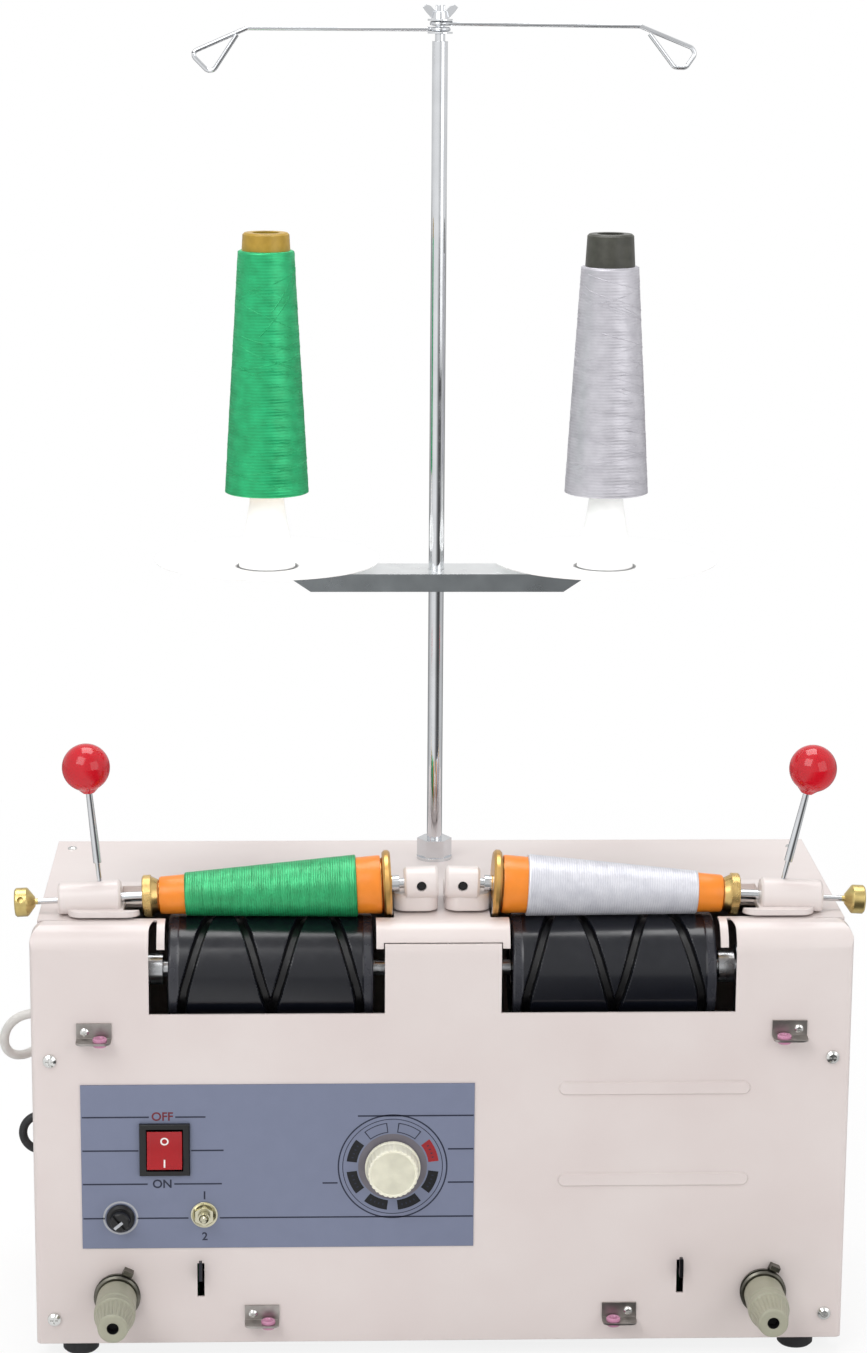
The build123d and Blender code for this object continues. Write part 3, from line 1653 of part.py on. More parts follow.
def cradle_mounts():
    """The ears on the top cover and the pins that the cradles swing on."""
    pieces = []
    for sign in (-1, 1):
        for ear in (pivot_ear_x, pivot_ear_x + pivot_ear_spacing):
            near = sign * ear
            far = sign * (ear + pivot_ear_thickness)
            post = rod_x(near, far, pivot_y, pivot_z, pivot_boss_radius)
            post += block(
                near, far, pivot_y - pivot_boss_radius, pivot_y + pivot_boss_radius, case_top, pivot_z
            )
            post += block(near, far, pivot_y, pivot_y + 3 * pivot_boss_radius, case_top, case_top + 2 * sheet)
            post -= rod_x(near - sign, far + sign, pivot_y, pivot_z, pivot_pin_radius)
            pieces.append(post)
        start = sign * (pivot_ear_x - 1)
        end = sign * (pivot_ear_x + pivot_ear_spacing + pivot_ear_thickness + 1)
        pieces.append(rod_x(start, end, pivot_y, pivot_z, pivot_pin_radius))
    return pieces


# ---- thread stand ----
def mast():
    """The tube, its lower nut, washer and upper nut, its plug and the bolt at the top."""
    tube = turned_ring(
        upward(0, mast_y),
        [
            (mast_bottom_z, mast_bore_radius),
            (mast_bottom_z, mast_radius),
            (mast_top_z, mast_radius),
            (mast_top_z, mast_bore_radius),
        ],
    )
    washer = ring_at(case_top, mast_washer_height, mast_washer_radius, mast_radius)
    nut = hex_nut(case_top + mast_washer_height, mast_nut_height, mast_nut_flats, mast_radius)
    inner_nut = hex_nut(
        under_top - mast_inner_nut_height, mast_inner_nut_height, mast_nut_flats, mast_radius
    )
    plug_top = mast_top_z + mast_plug_height
    bolt = turned(
        upward(0, mast_y),
        [
            (mast_top_z - 25, mast_bore_radius),
            (mast_top_z, mast_bore_radius),
            (mast_top_z, mast_plug_radius),
            (plug_top, mast_plug_radius),
            (plug_top, stud_bolt_radius),
            (stud_bolt_top_z, stud_bolt_radius),
        ],
    )
    pieces = [tube, washer, nut, inner_nut, bolt]
    for z in arm_washer_levels():
        pieces.append(ring_at(z, arm_washer_height, arm_washer_radius, stud_bolt_radius))
    return pieces


def ring_at(z, height, radius, bore):
    return turned_ring(
        upward(0, mast_y), [(z, bore), (z, radius), (z + height, radius), (z + height, bore)]
    )


def hex_nut(z, height, flats, bore):
    hexagon = RegularPolygon(flats / 2, 6, major_radius=False) - Circle(bore)
    return Pos(0, mast_y, z) * extrude(hexagon, amount=height)


def arm_washer_levels():
    """The washers under, between and over the two eyes of wire."""
    lowest = arm_left_z - arm_wire_radius - arm_gap - arm_washer_height
    between = (arm_left_z + arm_right_z) / 2 - arm_washer_height / 2
    highest = arm_right_z + arm_wire_radius + arm_gap
    if arm_right_z - arm_left_z < 2 * arm_wire_radius + arm_washer_height:
        return (lowest, highest)
    return (lowest, between, highest)


def wing_nut():
    """A wing nut on the top bolt, turned so that both wings show."""
    seat = arm_right_z + arm_wire_radius + arm_gap + arm_washer_height + wing_gap
    hub = turned(
        upward(0, mast_y),
        [(seat, wing_hub_radius), (seat + wing_hub_height, wing_hub_radius * 0.82)],
    )
    nut = hub
    for side in (-1, 1):
        outline = Polyline(
            (side * wing_hub_radius * 0.5, seat),
            (side * wing_hub_radius, seat + 0.4),
            (side * wing_span * 0.8, seat + wing_height * 0.45),
            (side * wing_span, seat + wing_height * 0.8),
            (side * wing_span * 0.8, seat + wing_height),
            (side * wing_span * 0.55, seat + wing_height * 0.9),
            (side * wing_hub_radius * 0.5, seat + wing_hub_height),
            close=True,
        )
        wing = extrude(Plane.XZ.offset(-mast_y) * make_face(outline), amount=wing_thickness / 2, both=True)
        nut += wing
    return nut - Pos(0, mast_y, seat) * Cylinder(stud_bolt_radius + axle_fit, through_length)


def thread_arm(sign):
    """One wire arm: an eye round the bolt, a straight run and a drooping open loop at its end."""
    z = arm_left_z if sign < 0 else arm_right_z
    reach, shares = (arm_left_reach, left_loop_shares) if sign < 0 else (arm_right_reach, right_loop_shares)
    loop = [(sign * reach * x, reach * drop) for x, drop in shares]
    start = (sign * arm_eye_radius, 0.0)
    route = [start] + loop
    points = [(x, mast_y - sweep_y(index), z + drop) for index, (x, drop) in enumerate(route)]
    path = FilletPolyline(*points, radius=arm_bend_radius)
    section = Plane(origin=path @ 0, z_dir=path % 0) * Circle(arm_wire_radius)
    wire = sweep(section, path=path)
    eye_plane = upward(0, mast_y, z)
    eye = eye_plane * Torus(arm_eye_radius, arm_wire_radius)
    return wire + eye


def sweep_y(index):
    """How far each point of an arm's loop lies in front of the mast, so that its end clears its start."""
    return arm_loop_depth * (0.0, 0.0, 0.28, 0.39, 0.61, 0.72, 1.0)[index]


def tray():
    """An inverted channel of galvanised sheet, its front and back lips shorter than its top."""
    front = mast_y - tray_depth / 2
    back = mast_y + tray_depth / 2
    plate = block(-tray_half_width, tray_half_width, front, back, tray_top_z - tray_sheet, tray_top_z)
    plate = fillet(plate.edges().filter_by(Axis.Z), 6)
    lip_outline = Polyline(
        (-tray_flange_top_x, tray_top_z),
        (tray_flange_top_x, tray_top_z),
        (tray_flange_bottom_x, tray_top_z - tray_flange),
        (-tray_flange_bottom_x, tray_top_z - tray_flange),
        close=True,
    )
    lip = make_face(lip_outline)
    plate += extrude(Plane.XZ.offset(-front - tray_sheet) * lip, amount=tray_sheet)
    plate += extrude(Plane.XZ.offset(-back) * lip, amount=tray_sheet)
    plate -= Pos(0, mast_y, tray_top_z) * Cylinder(mast_radius + tray_hole_gap, through_length)
    for sign in (-1, 1):
        plate -= Pos(sign * spool_x, mast_y, tray_top_z) * Cylinder(
            holder_bolt_radius + tray_hole_gap, through_length
        )
    collar_low = tray_top_z - tray_sheet - tray_collar_height
    collar = ring_at(collar_low, tray_collar_height, tray_collar_radius, mast_radius + 0.05)
    return [plate, collar]


def spool_stands():
    """On each side a dished plate, a hollow slotted holder and the bolt that clamps both."""
    pieces = []
    for sign in (-1, 1):
        plane = upward(sign * spool_x, mast_y, tray_top_z)
        thick = plate_thickness
        plate = turned_ring(
            plane,
            [
                (0, holder_bolt_radius + 0.1),
                (0, plate_flat_radius),
                (plate_rim_rise, plate_radius - 0.6),
                (plate_rim_rise + thick * 0.5, plate_radius),
                (plate_rim_rise + thick, plate_radius - 0.6),
                (thick, plate_flat_radius),
                (thick, holder_bolt_radius + 0.1),
            ],
        )
        base = thick
        wall = holder_wall
        top = holder_top_z - tray_top_z
        holder = turned_ring(
            plane,
            [
                (base, holder_bolt_radius + 0.1),
                (base, holder_base_radius),
                (base + holder_base_height, holder_neck_radius),
                (top - 2, holder_top_radius),
                (top, holder_top_radius - 1.5),
                (top, holder_bolt_radius + 0.1),
                (top - 4, holder_bolt_radius + 0.1),
                (base + holder_base_height, holder_neck_radius - wall - 1.5),
                (base + wall, holder_base_radius - wall - 1),
                (base + wall, holder_bolt_radius + 0.1),
            ],
        )
        slot_z = base + holder_slot_height / 2 + 1
        holder -= plane * Pos(0, -holder_base_radius + wall, slot_z) * Box(
            holder_slot_width, 4 * wall, holder_slot_height
        )
        head = -tray_sheet - holder_bolt_head_height
        bolt = turned(
            plane,
            [
                (head, holder_bolt_head_radius),
                (-tray_sheet, holder_bolt_head_radius),
                (-tray_sheet, holder_bolt_radius),
                (top + 1, holder_bolt_radius),
            ],
        )
        pieces += [plate, holder, bolt]
    return pieces


def supply_radius(z, bottom_radius, top_radius):
    """The radius of a supply cone's surface at a height."""
    share = (z - supply_bottom_z) / (supply_thread_top_z - supply_bottom_z)
    return bottom_radius + share * (top_radius - bottom_radius)


def supply_tubes():
    """The cone tubes, each let down over its holder and resting on the holder's shoulder."""
    pieces = []
    for sign in (-1, 1):
        plane = upward(sign * spool_x, mast_y)
        wall = supply_tube_wall
        outer_top = supply_radius(supply_top_z, supply_tube_bottom_radius, supply_tube_top_radius)
        rest_radius = holder_shoulder_radius()
        tube = turned_ring(
            plane,
            [
                (supply_bottom_z, rest_radius + supply_gap),
                (supply_bottom_z, supply_tube_bottom_radius),
                (supply_top_z - 1, outer_top),
                (supply_top_z, outer_top - 1),
                (supply_top_z, supply_mouth_radius),
                (supply_top_z - wall, supply_mouth_radius),
                (supply_top_z - wall, outer_top - wall),
                (supply_bottom_z + wall, supply_tube_bottom_radius - wall),
                (supply_bottom_z + wall, rest_radius + supply_gap),
            ],
        )
        pieces.append(tube)
    return pieces


def holder_shoulder_radius():
    """The holder's radius where the tube's lower end comes to rest."""
    base_top = tray_top_z + plate_thickness + holder_base_height
    share = (supply_bottom_z - base_top) / (holder_top_z - 2 - base_top)
    return holder_neck_radius + share * (holder_top_radius - holder_neck_radius)


def supply_thread(sign):
    """The yarn on a supply cone, as one closed body round its tube."""
    plane = upward(sign * spool_x, mast_y)
    gap = thread_seat_gap
    inner_bottom = supply_radius(supply_bottom_z + 1.5, supply_tube_bottom_radius,
        supply_tube_top_radius) + gap
    top_z = supply_thread_top_z if sign < 0 else supply_thread_top_z - 7.5
    inner_top = supply_radius(top_z, supply_tube_bottom_radius, supply_tube_top_radius) + gap
    outer_top = supply_radius(top_z, supply_thread_bottom_radius, supply_thread_top_radius)
    return turned_ring(
        plane,
        [
            (supply_bottom_z + 1.5, inner_bottom),
            (supply_bottom_z, supply_thread_bottom_radius - 0.8),
            (supply_bottom_z + 1.0, supply_thread_bottom_radius),
            (top_z - 0.8, outer_top),
            (top_z, inner_top),
        ],
    )


# ---- leads ----
def tube_along(path, radius):
    section = Plane(origin=path @ 0, z_dir=path % 0) * Circle(radius)
    return sweep(section, path=path)


def side_lead():
    """A short black lead that bows out of the side wall, its two grommets and the cord's gland."""
    wall_x = -case_half_width
    low, high = side_lead_exits()
    turn_x = wall_x - side_lead_reach
    path = Wire(
        [
            Line((wall_x, lead_y, high), (turn_x, lead_y, high)).edge(),
            ThreePointArc(
                (turn_x, lead_y, high), (turn_x - side_lead_loop_radius, lead_y, side_lead_z),
                (turn_x, lead_y, low)
            ).edge(),
            Line((turn_x, lead_y, low), (wall_x, lead_y, low)).edge(),
        ]
    )
    pieces = [tube_along(path, side_lead_radius)]
    for z in (low, high):
        flange = rod((wall_x, lead_y, z), (-1, 0, 0), grommet_radius, grommet_flange)
        neck = rod((wall_x + sheet + 1.5, lead_y, z), (-1, 0, 0), side_lead_radius + 0.95, sheet + 1.5)
        bore = rod((wall_x + 10, lead_y, z), (-1, 0, 0), side_lead_radius + 0.02, 20)
        pieces.append(flange + neck - bore)
    gland = turned(
        Plane(origin=(wall_x, lead_y, gland_z), z_dir=(-1, 0, 0)),
        [
            (-sheet - 3, cord_radius + 0.95),
            (0, cord_radius + 0.95),
            (0, gland_radius),
            (gland_length * 0.45, gland_radius),
            (gland_length, gland_radius * 0.72),
        ],
    )
    pieces.append(gland)
    return pieces


def cord_route():
    """The mains cord's points, chosen by hand: out of the gland, over and down beside the wall,
    round the back corner, down behind the case and along the bench to the coil."""
    return [
        (-case_half_width - gland_length, lead_y, gland_z),
        (-217.0, 120.0, 146.0),
        (-224.2, 120.4, 143.2),
        (-229.4, 121.4, 137.4),
        (-231.4, 123.0, 129.6),
        (-229.6, 126.0, 122.4),
        (-224.4, 131.0, 118.2),
        (-217.6, 139.0, 117.6),
        (-212.2, 152.0, 118.6),
        (-206.6, 166.5, 117.2),
        (-198.8, 178.6, 109.6),
        (-193.0, 185.4, 94.6),
        (-189.4, 188.4, 76.0),
        (-185.0, 189.4, 56.0),
        (-178.5, 190.2, 37.0),
        (-167.5, 191.0, 18.5),
        (-153.0, 192.2, 7.5),
        (-139.0, coil_centre_y - coil_loop_radius, cord_radius),
        coil_start(),
    ]


def coil_start():
    """Where the coil takes over from the free cord, one diameter before its first loop."""
    return (coil_centre_x - 2 * cord_radius, coil_centre_y - coil_loop_radius, cord_radius)


def rounded_path(points, label):
    """A path of straight runs and arcs as large as the runs allow; prints the smallest radius."""
    vectors = [Vector(*point) for point in points]
    radii = []
    for before, here, after in zip(vectors, vectors[1:], vectors[2:]):
        turn = math.radians((here - before).get_angle(after - here))
        shorter = min((here - before).length, (after - here).length)
        radii.append(0.45 * shorter / math.tan(turn / 2))
    print(label, "radii", [round(radius, 1) for radius in radii])
    return FilletPolyline(*points, radius=radii)


def power_cord():
    path = rounded_path(cord_route(), "cord")
    solid = tube_along(path, cord_radius)
    print("cord length", round(path.length, 1), "volume share",
        round(solid.volume / (math.pi * cord_radius**2 * path.length), 4))
    return solid


def coil_point(quarter, height, radius):
    """A point of the coil after a number of quarter turns from its side nearest the case."""
    angle = (quarter - 1) * math.pi / 2
    return (coil_centre_x + radius * math.cos(angle), coil_centre_y + radius * math.sin(angle), height)


def coil_route():
    """Quarter-turn points: in through the lower layer, up in the half turn where the spiral
    reverses, and out through the upper layer."""
    points = []
    quarters = 4 * coil_turns
    pitch_step = coil_pitch / 4
    reach = coil_loop_radius - quarters * pitch_step
    for index in range(quarters + 1):
        points.append(coil_point(index, cord_radius, coil_loop_radius - index * pitch_step))
    points.append(coil_point(quarters + 1, cord_radius + coil_climb / 2, reach - coil_dip))
    for index in range(quarters + 1):
        points.append(coil_point(quarters + 2 + index, cord_radius + coil_climb, reach + index * pitch_step))
    return points


def spiral_direction(point):
    """The direction of the coil at one of its points, square to the spoke from its middle."""
    spoke = Vector(point[0] - coil_centre_x, point[1] - coil_centre_y, 0)
    return Vector(-spoke.Y, spoke.X, 0).normalized()


def biarc_joint(start, start_dir, end, end_dir):
    """Where two arcs meet that leave each end in the given direction."""
    chord = end - start
    a = 2 * (1 - start_dir.dot(end_dir))
    b = 2 * chord.dot(start_dir + end_dir)
    c = -chord.dot(chord)
    reach = (-b + math.sqrt(b * b - 4 * a * c)) / (2 * a)
    first_knee = start + start_dir * reach
    second_knee = end - end_dir * reach
    return (first_knee + second_knee) * 0.5


def power_coil():
    """The rest of the cord's length as one unbroken tube of loops in two layers."""
    points = coil_route()
    edges = [Line(coil_start(), points[0]).edge()]
    for first, second in zip(points, points[1:]):
        start = Vector(*first)
        end = Vector(*second)
        start_dir = spiral_direction(first)
        end_dir = spiral_direction(second)
        joint = biarc_joint(start, start_dir, end, end_dir)
        edges.append(TangentArc(start, joint, tangent=start_dir).edge())
        edges.append(TangentArc(end, joint, tangent=-end_dir).edge())
    edges.append(Line(points[-1], plug_start()).edge())
    path = Wire(edges)
    print("coil length", round(path.length, 1), "least gap", round(coil_least_gap(path), 2))
    return tube_along(path, cord_radius)


def coil_least_gap(path):
    """The coil's least gap to itself, measured on points along its path."""
    count = 360
    samples = [path @ (index / count) for index in range(count + 1)]
    spacing = path.length / count
    skip = int(2 * math.pi * coil_loop_radius * 0.35 / spacing)
    least = 1e9
    for index, here in enumerate(samples):
        for other in samples[index + skip:]:
            least = min(least, (here - other).length)
    return least - 2 * cord_radius


def plug_start():
    """Where the coil's straight end enters the plug."""
    x, y, z = coil_route()[-1]
    return (x - 2 * cord_radius, y, z)


def power_plug():
    """A two-pin plug with a moulded neck, lying flat behind the case."""
    x, y, z = plug_start()
    plane = Plane(origin=(x, y, z), z_dir=(-1, 0, 0), x_dir=(0, 1, 0))
    neck = turned(plane, [(0, cord_radius + 0.8), (plug_neck_length, plug_neck_radius)])
    body = plane * Pos(0, 0, plug_neck_length + plug_length / 2) * Box(plug_width, 2 * z, plug_length)
    body = fillet(body.edges().filter_by(Axis.X), 3)
    plug = neck + body
    end = plug_neck_length + plug_length
    for side in (-1, 1):
        pin = turned(
            plane * Plane(origin=(side * plug_pin_spacing / 2, 0, 0)),
            [(end, plug_pin_radius), (end + plug_pin_length - 1, plug_pin_radius),
            (end + plug_pin_length, plug_pin_radius - 0.8)],
        )
        plug += pin
    return plug


# ---- all the nodes ----
nodes["front_cover"] = [front_cover()]
nodes["top_cover"] = [top_cover()]
nodes["rear_case"] = [rear_case()]
nodes["base_plate"] = [base_plate()]
nodes["feet"] = feet()
nodes["cover_screws"] = cover_screws()
nodes["control_panel"] = [control_panel()]
nodes["rocker_bezel"] = [rocker_bezel()]
nodes["rocker"] = [rocker()]
nodes["fuse_holder"] = fuse_holder()
nodes["toggle_switch"] = toggle_switch()
nodes["toggle_lever"] = [toggle_lever()]
nodes["speed_knob"] = [speed_knob()]
nodes["electrics"] = electrics()
nodes["guide_brackets"] = guide_brackets()
nodes["guide_eyelets"] = guide_eyelets()
nodes["tension_posts"] = tension_posts()
nodes["tension_discs"] = tension_discs()
nodes["drum_axle"] = drum_axle()
nodes["drum_brackets"] = drum_brackets()
nodes["drum_bearings"] = drum_bearings()
nodes["belt"] = [belt()]
nodes["motor"] = [motor()]
nodes["motor_pulley"] = [motor_pulley()]
nodes["cradle_mounts"] = cradle_mounts()
nodes["mast"] = mast()
nodes["wing_nut"] = [wing_nut()]
nodes["tray"] = tray()
nodes["spool_stands"] = spool_stands()
nodes["supply_tubes"] = supply_tubes()
nodes["supply_thread_green"] = [supply_thread(-1)]
nodes["supply_thread_grey"] = [supply_thread(1)]
nodes["side_lead"] = side_lead()
nodes["power_cord"] = [power_cord()]
nodes["power_coil"] = [power_coil()]
nodes["power_plug"] = [power_plug()]
for side in side_names:
    sign = side_signs[side]
    nodes["tension_knob_" + side] = [tension_knob(sign)]
    nodes["feeler_" + side] = [feeler(sign)]
    nodes["drum_" + side] = [drum(sign)]
    nodes["cradle_" + side] = [cradle(sign)]
    nodes["lever_rod_" + side] = [lever_rod(sign)]
    nodes["lever_ball_" + side] = [lever_ball(sign)]
    nodes["large_chuck_" + side] = [large_chuck(sign)]
    nodes["cone_tube_" + side] = [cone_tube(sign)]
    nodes["cone_thread_" + side] = [cone_thread(sign)]
    nodes["small_chuck_" + side] = [small_chuck(sign)]
    nodes["plunger_" + side] = [plunger(sign)]
    nodes["thread_arm_" + side] = [thread_arm(sign)]

# The origin is put at the middle of the machine's own box, on the bench.
cord_names = ("power_cord", "power_coil", "power_plug")
machine = Compound([
    solid for name, group in nodes.items() if name not in cord_names for piece in group
    for solid in piece.solids()
])
box = machine.bounding_box()
shift = Vector(-(box.min.X + box.max.X) / 2, -(box.min.Y + box.max.Y) / 2, -box.min.Z)

os.makedirs("parts", exist_ok=True)
for name, group in nodes.items():
    solids = [solid for piece in group for solid in piece.solids()]
    export_step(Compound(solids).moved(Location(shift)), "parts/" + name + ".step")

print("origin shift", shift)
for name, point, direction in (
    ("drum_spin", (0, drum_y, drum_z), (1, 0, 0)),
    ("motor_spin", (0, motor_y, motor_z), (1, 0, 0)),
    ("cradle", (0, pivot_y, pivot_z), (1, 0, 0)),
    ("cone_left", head_plane(-1).origin, head_plane(-1).z_dir),
    ("cone_right", head_plane(1).origin, head_plane(1).z_dir),
    ("mast", (0, mast_y, mast_top_z), (0, 0, 1)),
    ("rocker", (rocker_x, -panel_thickness, rocker_z), (1, 0, 0)),
    ("toggle", toggle_pivot(), (1, 0, 0)),
    ("speed_knob", (knob_x, 0, knob_z), (0, -1, 0)),
    ("tension", (tension_x, 0, tension_z), (0, -1, 0)),
    ("feeler", (feeler_x, feeler_pivot_y, feeler_pivot_z), (1, 0, 0)),
):
    place = Vector(*point) + shift
    along = Vector(*direction)
    print("axis", name, [round(v, 4) for v in (place.X, place.Y, place.Z, along.X, along.Y, along.Z)])
print("ratios", round(cone_ratio, 5), round(motor_ratio, 5))
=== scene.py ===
import json
import math
import bpy
import bmesh
from mathutils import Matrix, Vector
from mathutils.bvhtree import BVHTree


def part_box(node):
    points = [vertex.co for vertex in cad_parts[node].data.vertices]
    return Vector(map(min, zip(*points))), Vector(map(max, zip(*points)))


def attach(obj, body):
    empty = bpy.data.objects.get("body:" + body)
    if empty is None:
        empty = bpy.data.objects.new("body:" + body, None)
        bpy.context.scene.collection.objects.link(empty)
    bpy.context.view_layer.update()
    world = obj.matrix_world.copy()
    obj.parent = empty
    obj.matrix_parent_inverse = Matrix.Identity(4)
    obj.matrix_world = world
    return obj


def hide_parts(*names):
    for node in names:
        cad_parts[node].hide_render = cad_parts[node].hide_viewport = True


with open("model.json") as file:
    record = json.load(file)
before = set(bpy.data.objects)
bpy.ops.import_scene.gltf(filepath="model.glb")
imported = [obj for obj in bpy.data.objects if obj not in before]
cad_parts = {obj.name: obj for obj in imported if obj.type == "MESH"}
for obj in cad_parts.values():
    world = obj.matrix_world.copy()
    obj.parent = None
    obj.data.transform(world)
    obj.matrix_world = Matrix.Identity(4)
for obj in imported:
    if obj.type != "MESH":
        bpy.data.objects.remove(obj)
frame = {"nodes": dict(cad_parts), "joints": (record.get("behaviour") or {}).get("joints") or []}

print("stage: frame loaded")
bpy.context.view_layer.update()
scene = bpy.context.scene
mm = 0.001
coverLow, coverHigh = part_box("front_cover")
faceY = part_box("control_panel")[1].y  # the flat front face of the case
middleX = (coverLow.x + coverHigh.x) / 2


def at(x, y, z):  # millimetres from the middle of the front face at bench level, to metres
    return Vector((middleX + x * mm, faceY + y * mm, z * mm))


def jointNamed(name):
    return next(joint for joint in frame["joints"] if joint["name"] == name)


# the camera, where the photograph was taken
cameraLook = {
    "azimuth": -2.21, "elevation": 12.44, "roll": 0.41, "distance": 1723.0, "lens": 88.1,
    "target": (-2.2, 100.0, 335.0)
}


def placeCamera():
    azimuth = math.radians(cameraLook["azimuth"])
    elevation = math.radians(cameraLook["elevation"])
    roll = math.radians(cameraLook["roll"])
    back = Vector(
        (
            math.sin(azimuth) * math.cos(elevation), -math.cos(azimuth) * math.cos(elevation),
            math.sin(elevation)
        )
    )
    right = Vector((0, 0, 1)).cross(back).normalized()
    up = back.cross(right)
    turnedRight = right * math.cos(roll) + up * math.sin(roll)
    turnedUp = up * math.cos(roll) - right * math.sin(roll)
    lens = bpy.data.cameras.new("frontCamera")
    lens.sensor_fit = "VERTICAL"
    lens.sensor_height = 36.0
    lens.lens = cameraLook["lens"]
    lens.clip_start = 0.05
    lens.clip_end = 20.0
    camera = bpy.data.objects.new("frontCamera", lens)
    turn = Matrix((turnedRight, turnedUp, back)).transposed().to_4x4()
    camera.matrix_world = Matrix.Translation(
        at(*cameraLook["target"]) + back * cameraLook["distance"] * mm
    ) @ turn
    scene.collection.objects.link(camera)
    scene.camera = camera


placeCamera()


# colours and materials
def tint(hexText, alpha=1.0):  # an sRGB hex value as linear light
    channels = [int(hexText[i:i + 2], 16) / 255 for i in (1, 3, 5)]
    linear = [c / 12.92 if c <= 0.04045 else ((c + 0.055) / 1.055) ** 2.4 for c in channels]
    return (*linear, alpha)


def addNode(tree, kind, inputs=None, **settings):
    node = tree.nodes.new(kind)
    for key, value in settings.items():
        setattr(node, key, value)
    for key, value in (inputs or {}).items():
        socket = node.inputs[key]
        if isinstance(value, bpy.types.NodeSocket):
            tree.links.new(value, socket)
        else:
            socket.default_value = value
    return node


def startMaterial(name):
    material = bpy.data.materials.new(name)
    material.use_nodes = True
    tree = material.node_tree
    tree.nodes.clear()
    surface = addNode(tree, "ShaderNodeBsdfPrincipled")
    addNode(tree, "ShaderNodeOutputMaterial", {"Surface": surface.outputs["BSDF"]})
    return material, tree, surface


def setSurface(tree, surface, values):
    for key, value in values.items():
        if isinstance(value, bpy.types.NodeSocket):
            tree.links.new(value, surface.inputs[key])
        else:
            surface.inputs[key].default_value = value


def mottle(tree, vector, sizeMm, low, high, detail=3.0):
    # noise whose blotches are sizeMm across, mapped between two values
    noise = addNode(tree, "ShaderNodeTexNoise", {"Vector": vector, "Scale": 1000 / sizeMm, "Detail": detail})
    spread = addNode(tree, "ShaderNodeMapRange", {
        "Value": noise.outputs["Fac"], "From Min": 0.3, "From Max": 0.7, "To Min": low, "To Max": high})
    return spread.outputs["Result"]


def relief(tree, height, depthMm, normal=None):
    inputs = {"Height": height, "Distance": depthMm * mm, "Strength": 1.0}
    if normal is not None:
        inputs["Normal"] = normal
    return addNode(tree, "ShaderNodeBump", inputs).outputs["Normal"]


def objectPlace(tree):
    return addNode(tree, "ShaderNodeTexCoord").outputs["Object"]


def softEdge(tree, radiusMm):
    return addNode(tree, "ShaderNodeBevel", {"Radius": radiusMm * mm}, samples=4).outputs["Normal"]


def colourBlend(tree, factor, first, second):
    blend = addNode(tree, "ShaderNodeMix", {0: factor, 6: first, 7: second}, data_type="RGBA")
    return blend.outputs[2]


def paintedSheet(name, shade, peel, roughness, edge):
    # powder-coated steel: an even satin skin with a faint orange peel and softly rounded edges
    material, tree, surface = startMaterial(name)
    place = objectPlace(tree)
    lighter = mottle(tree, place, 60.0, 0.0, 1.0)
    colour = colourBlend(tree, lighter, tint(shade[0]), tint(shade[1]))
    peelHeight = addNode(
        tree, "ShaderNodeTexNoise", {"Vector": place, "Scale": 1000 / peel, "Detail": 1.0}
    ).outputs["Fac"]
    setSurface(tree, surface, {
        "Base Color": colour, "Roughness": mottle(tree, place, 25.0, roughness - 0.04, roughness + 0.05),
        "Normal": relief(tree, peelHeight, 0.012, softEdge(tree, edge)),
        "Coat Weight": 0.25, "Coat Roughness": 0.12,
    })
    return material


def plainPlastic(
    name, colourHex, roughness, grainMm=0.4, grainDepth=0.01, edge=0.3, subsurface=0.0, spread=0.05
):
    # moulded thermoplastic: a fine spark-eroded grain and slightly glossier worn patches
    material, tree, surface = startMaterial(name)
    place = objectPlace(tree)
    grain = addNode(
        tree, "ShaderNodeTexNoise", {"Vector": place, "Scale": 1000 / grainMm, "Detail": 2.0}
    ).outputs["Fac"]
    low, high = shades(colourHex, spread)
    setSurface(tree, surface, {
        "Base Color": colourBlend(tree, mottle(tree, place, 9.0, 0.0, 1.0), low, high),
        "Roughness": mottle(tree, place, 7.0, roughness - 0.04, roughness + 0.06),
        "Normal": relief(tree, grain, grainDepth, softEdge(tree, edge)),
    })
    if subsurface:
        setSurface(tree, surface, {
            "Subsurface Weight": subsurface, "Subsurface Radius": (0.004, 0.004, 0.003),
            "Subsurface Scale": 1.0})
    return material


def shades(colourHex, spread):  # the colour a little darker and a little lighter
    colour = tint(colourHex)
    darker = tuple(c * (1 - spread) for c in colour[:3]) + (1.0,)
    lighter = tuple(min(1.0, c * (1 + spread)) for c in colour[:3]) + (1.0,)
    return darker, lighter


def workedMetal(
    name, colourHex, roughness, lineMm, stretch, depth=0.004, edge=0.25, stain=0.0, stainHex="#6B6250"
):
    # bare or plated metal: fine tool lines along one way, and cloudy patches where it has dulled
    material, tree, surface = startMaterial(name)
    place = objectPlace(tree)
    lines = addNode(tree, "ShaderNodeMapping", {"Vector": place, "Scale": stretch})
    lineHeight = addNode(
        tree, "ShaderNodeTexNoise",
        {"Vector": lines.outputs["Vector"], "Scale": 1000 / lineMm, "Detail": 2.0}
    ).outputs["Fac"]
    patch = mottle(tree, place, 14.0, 0.0, 1.0)
    low, high = shades(colourHex, 0.06)
    colour = colourBlend(tree, patch, low, high)
    if stain:
        marks = mottle(tree, place, 5.0, 0.0, stain, 5.0)
        colour = colourBlend(tree, marks, colour, tint(stainHex))
    setSurface(tree, surface, {
        "Base Color": colour, "Metallic": 1.0,
        "Roughness": mottle(tree, place, 11.0, max(0.03, roughness - 0.05), roughness + 0.06),
        "Normal": relief(tree, lineHeight, depth, softEdge(tree, edge)),
    })
    return material


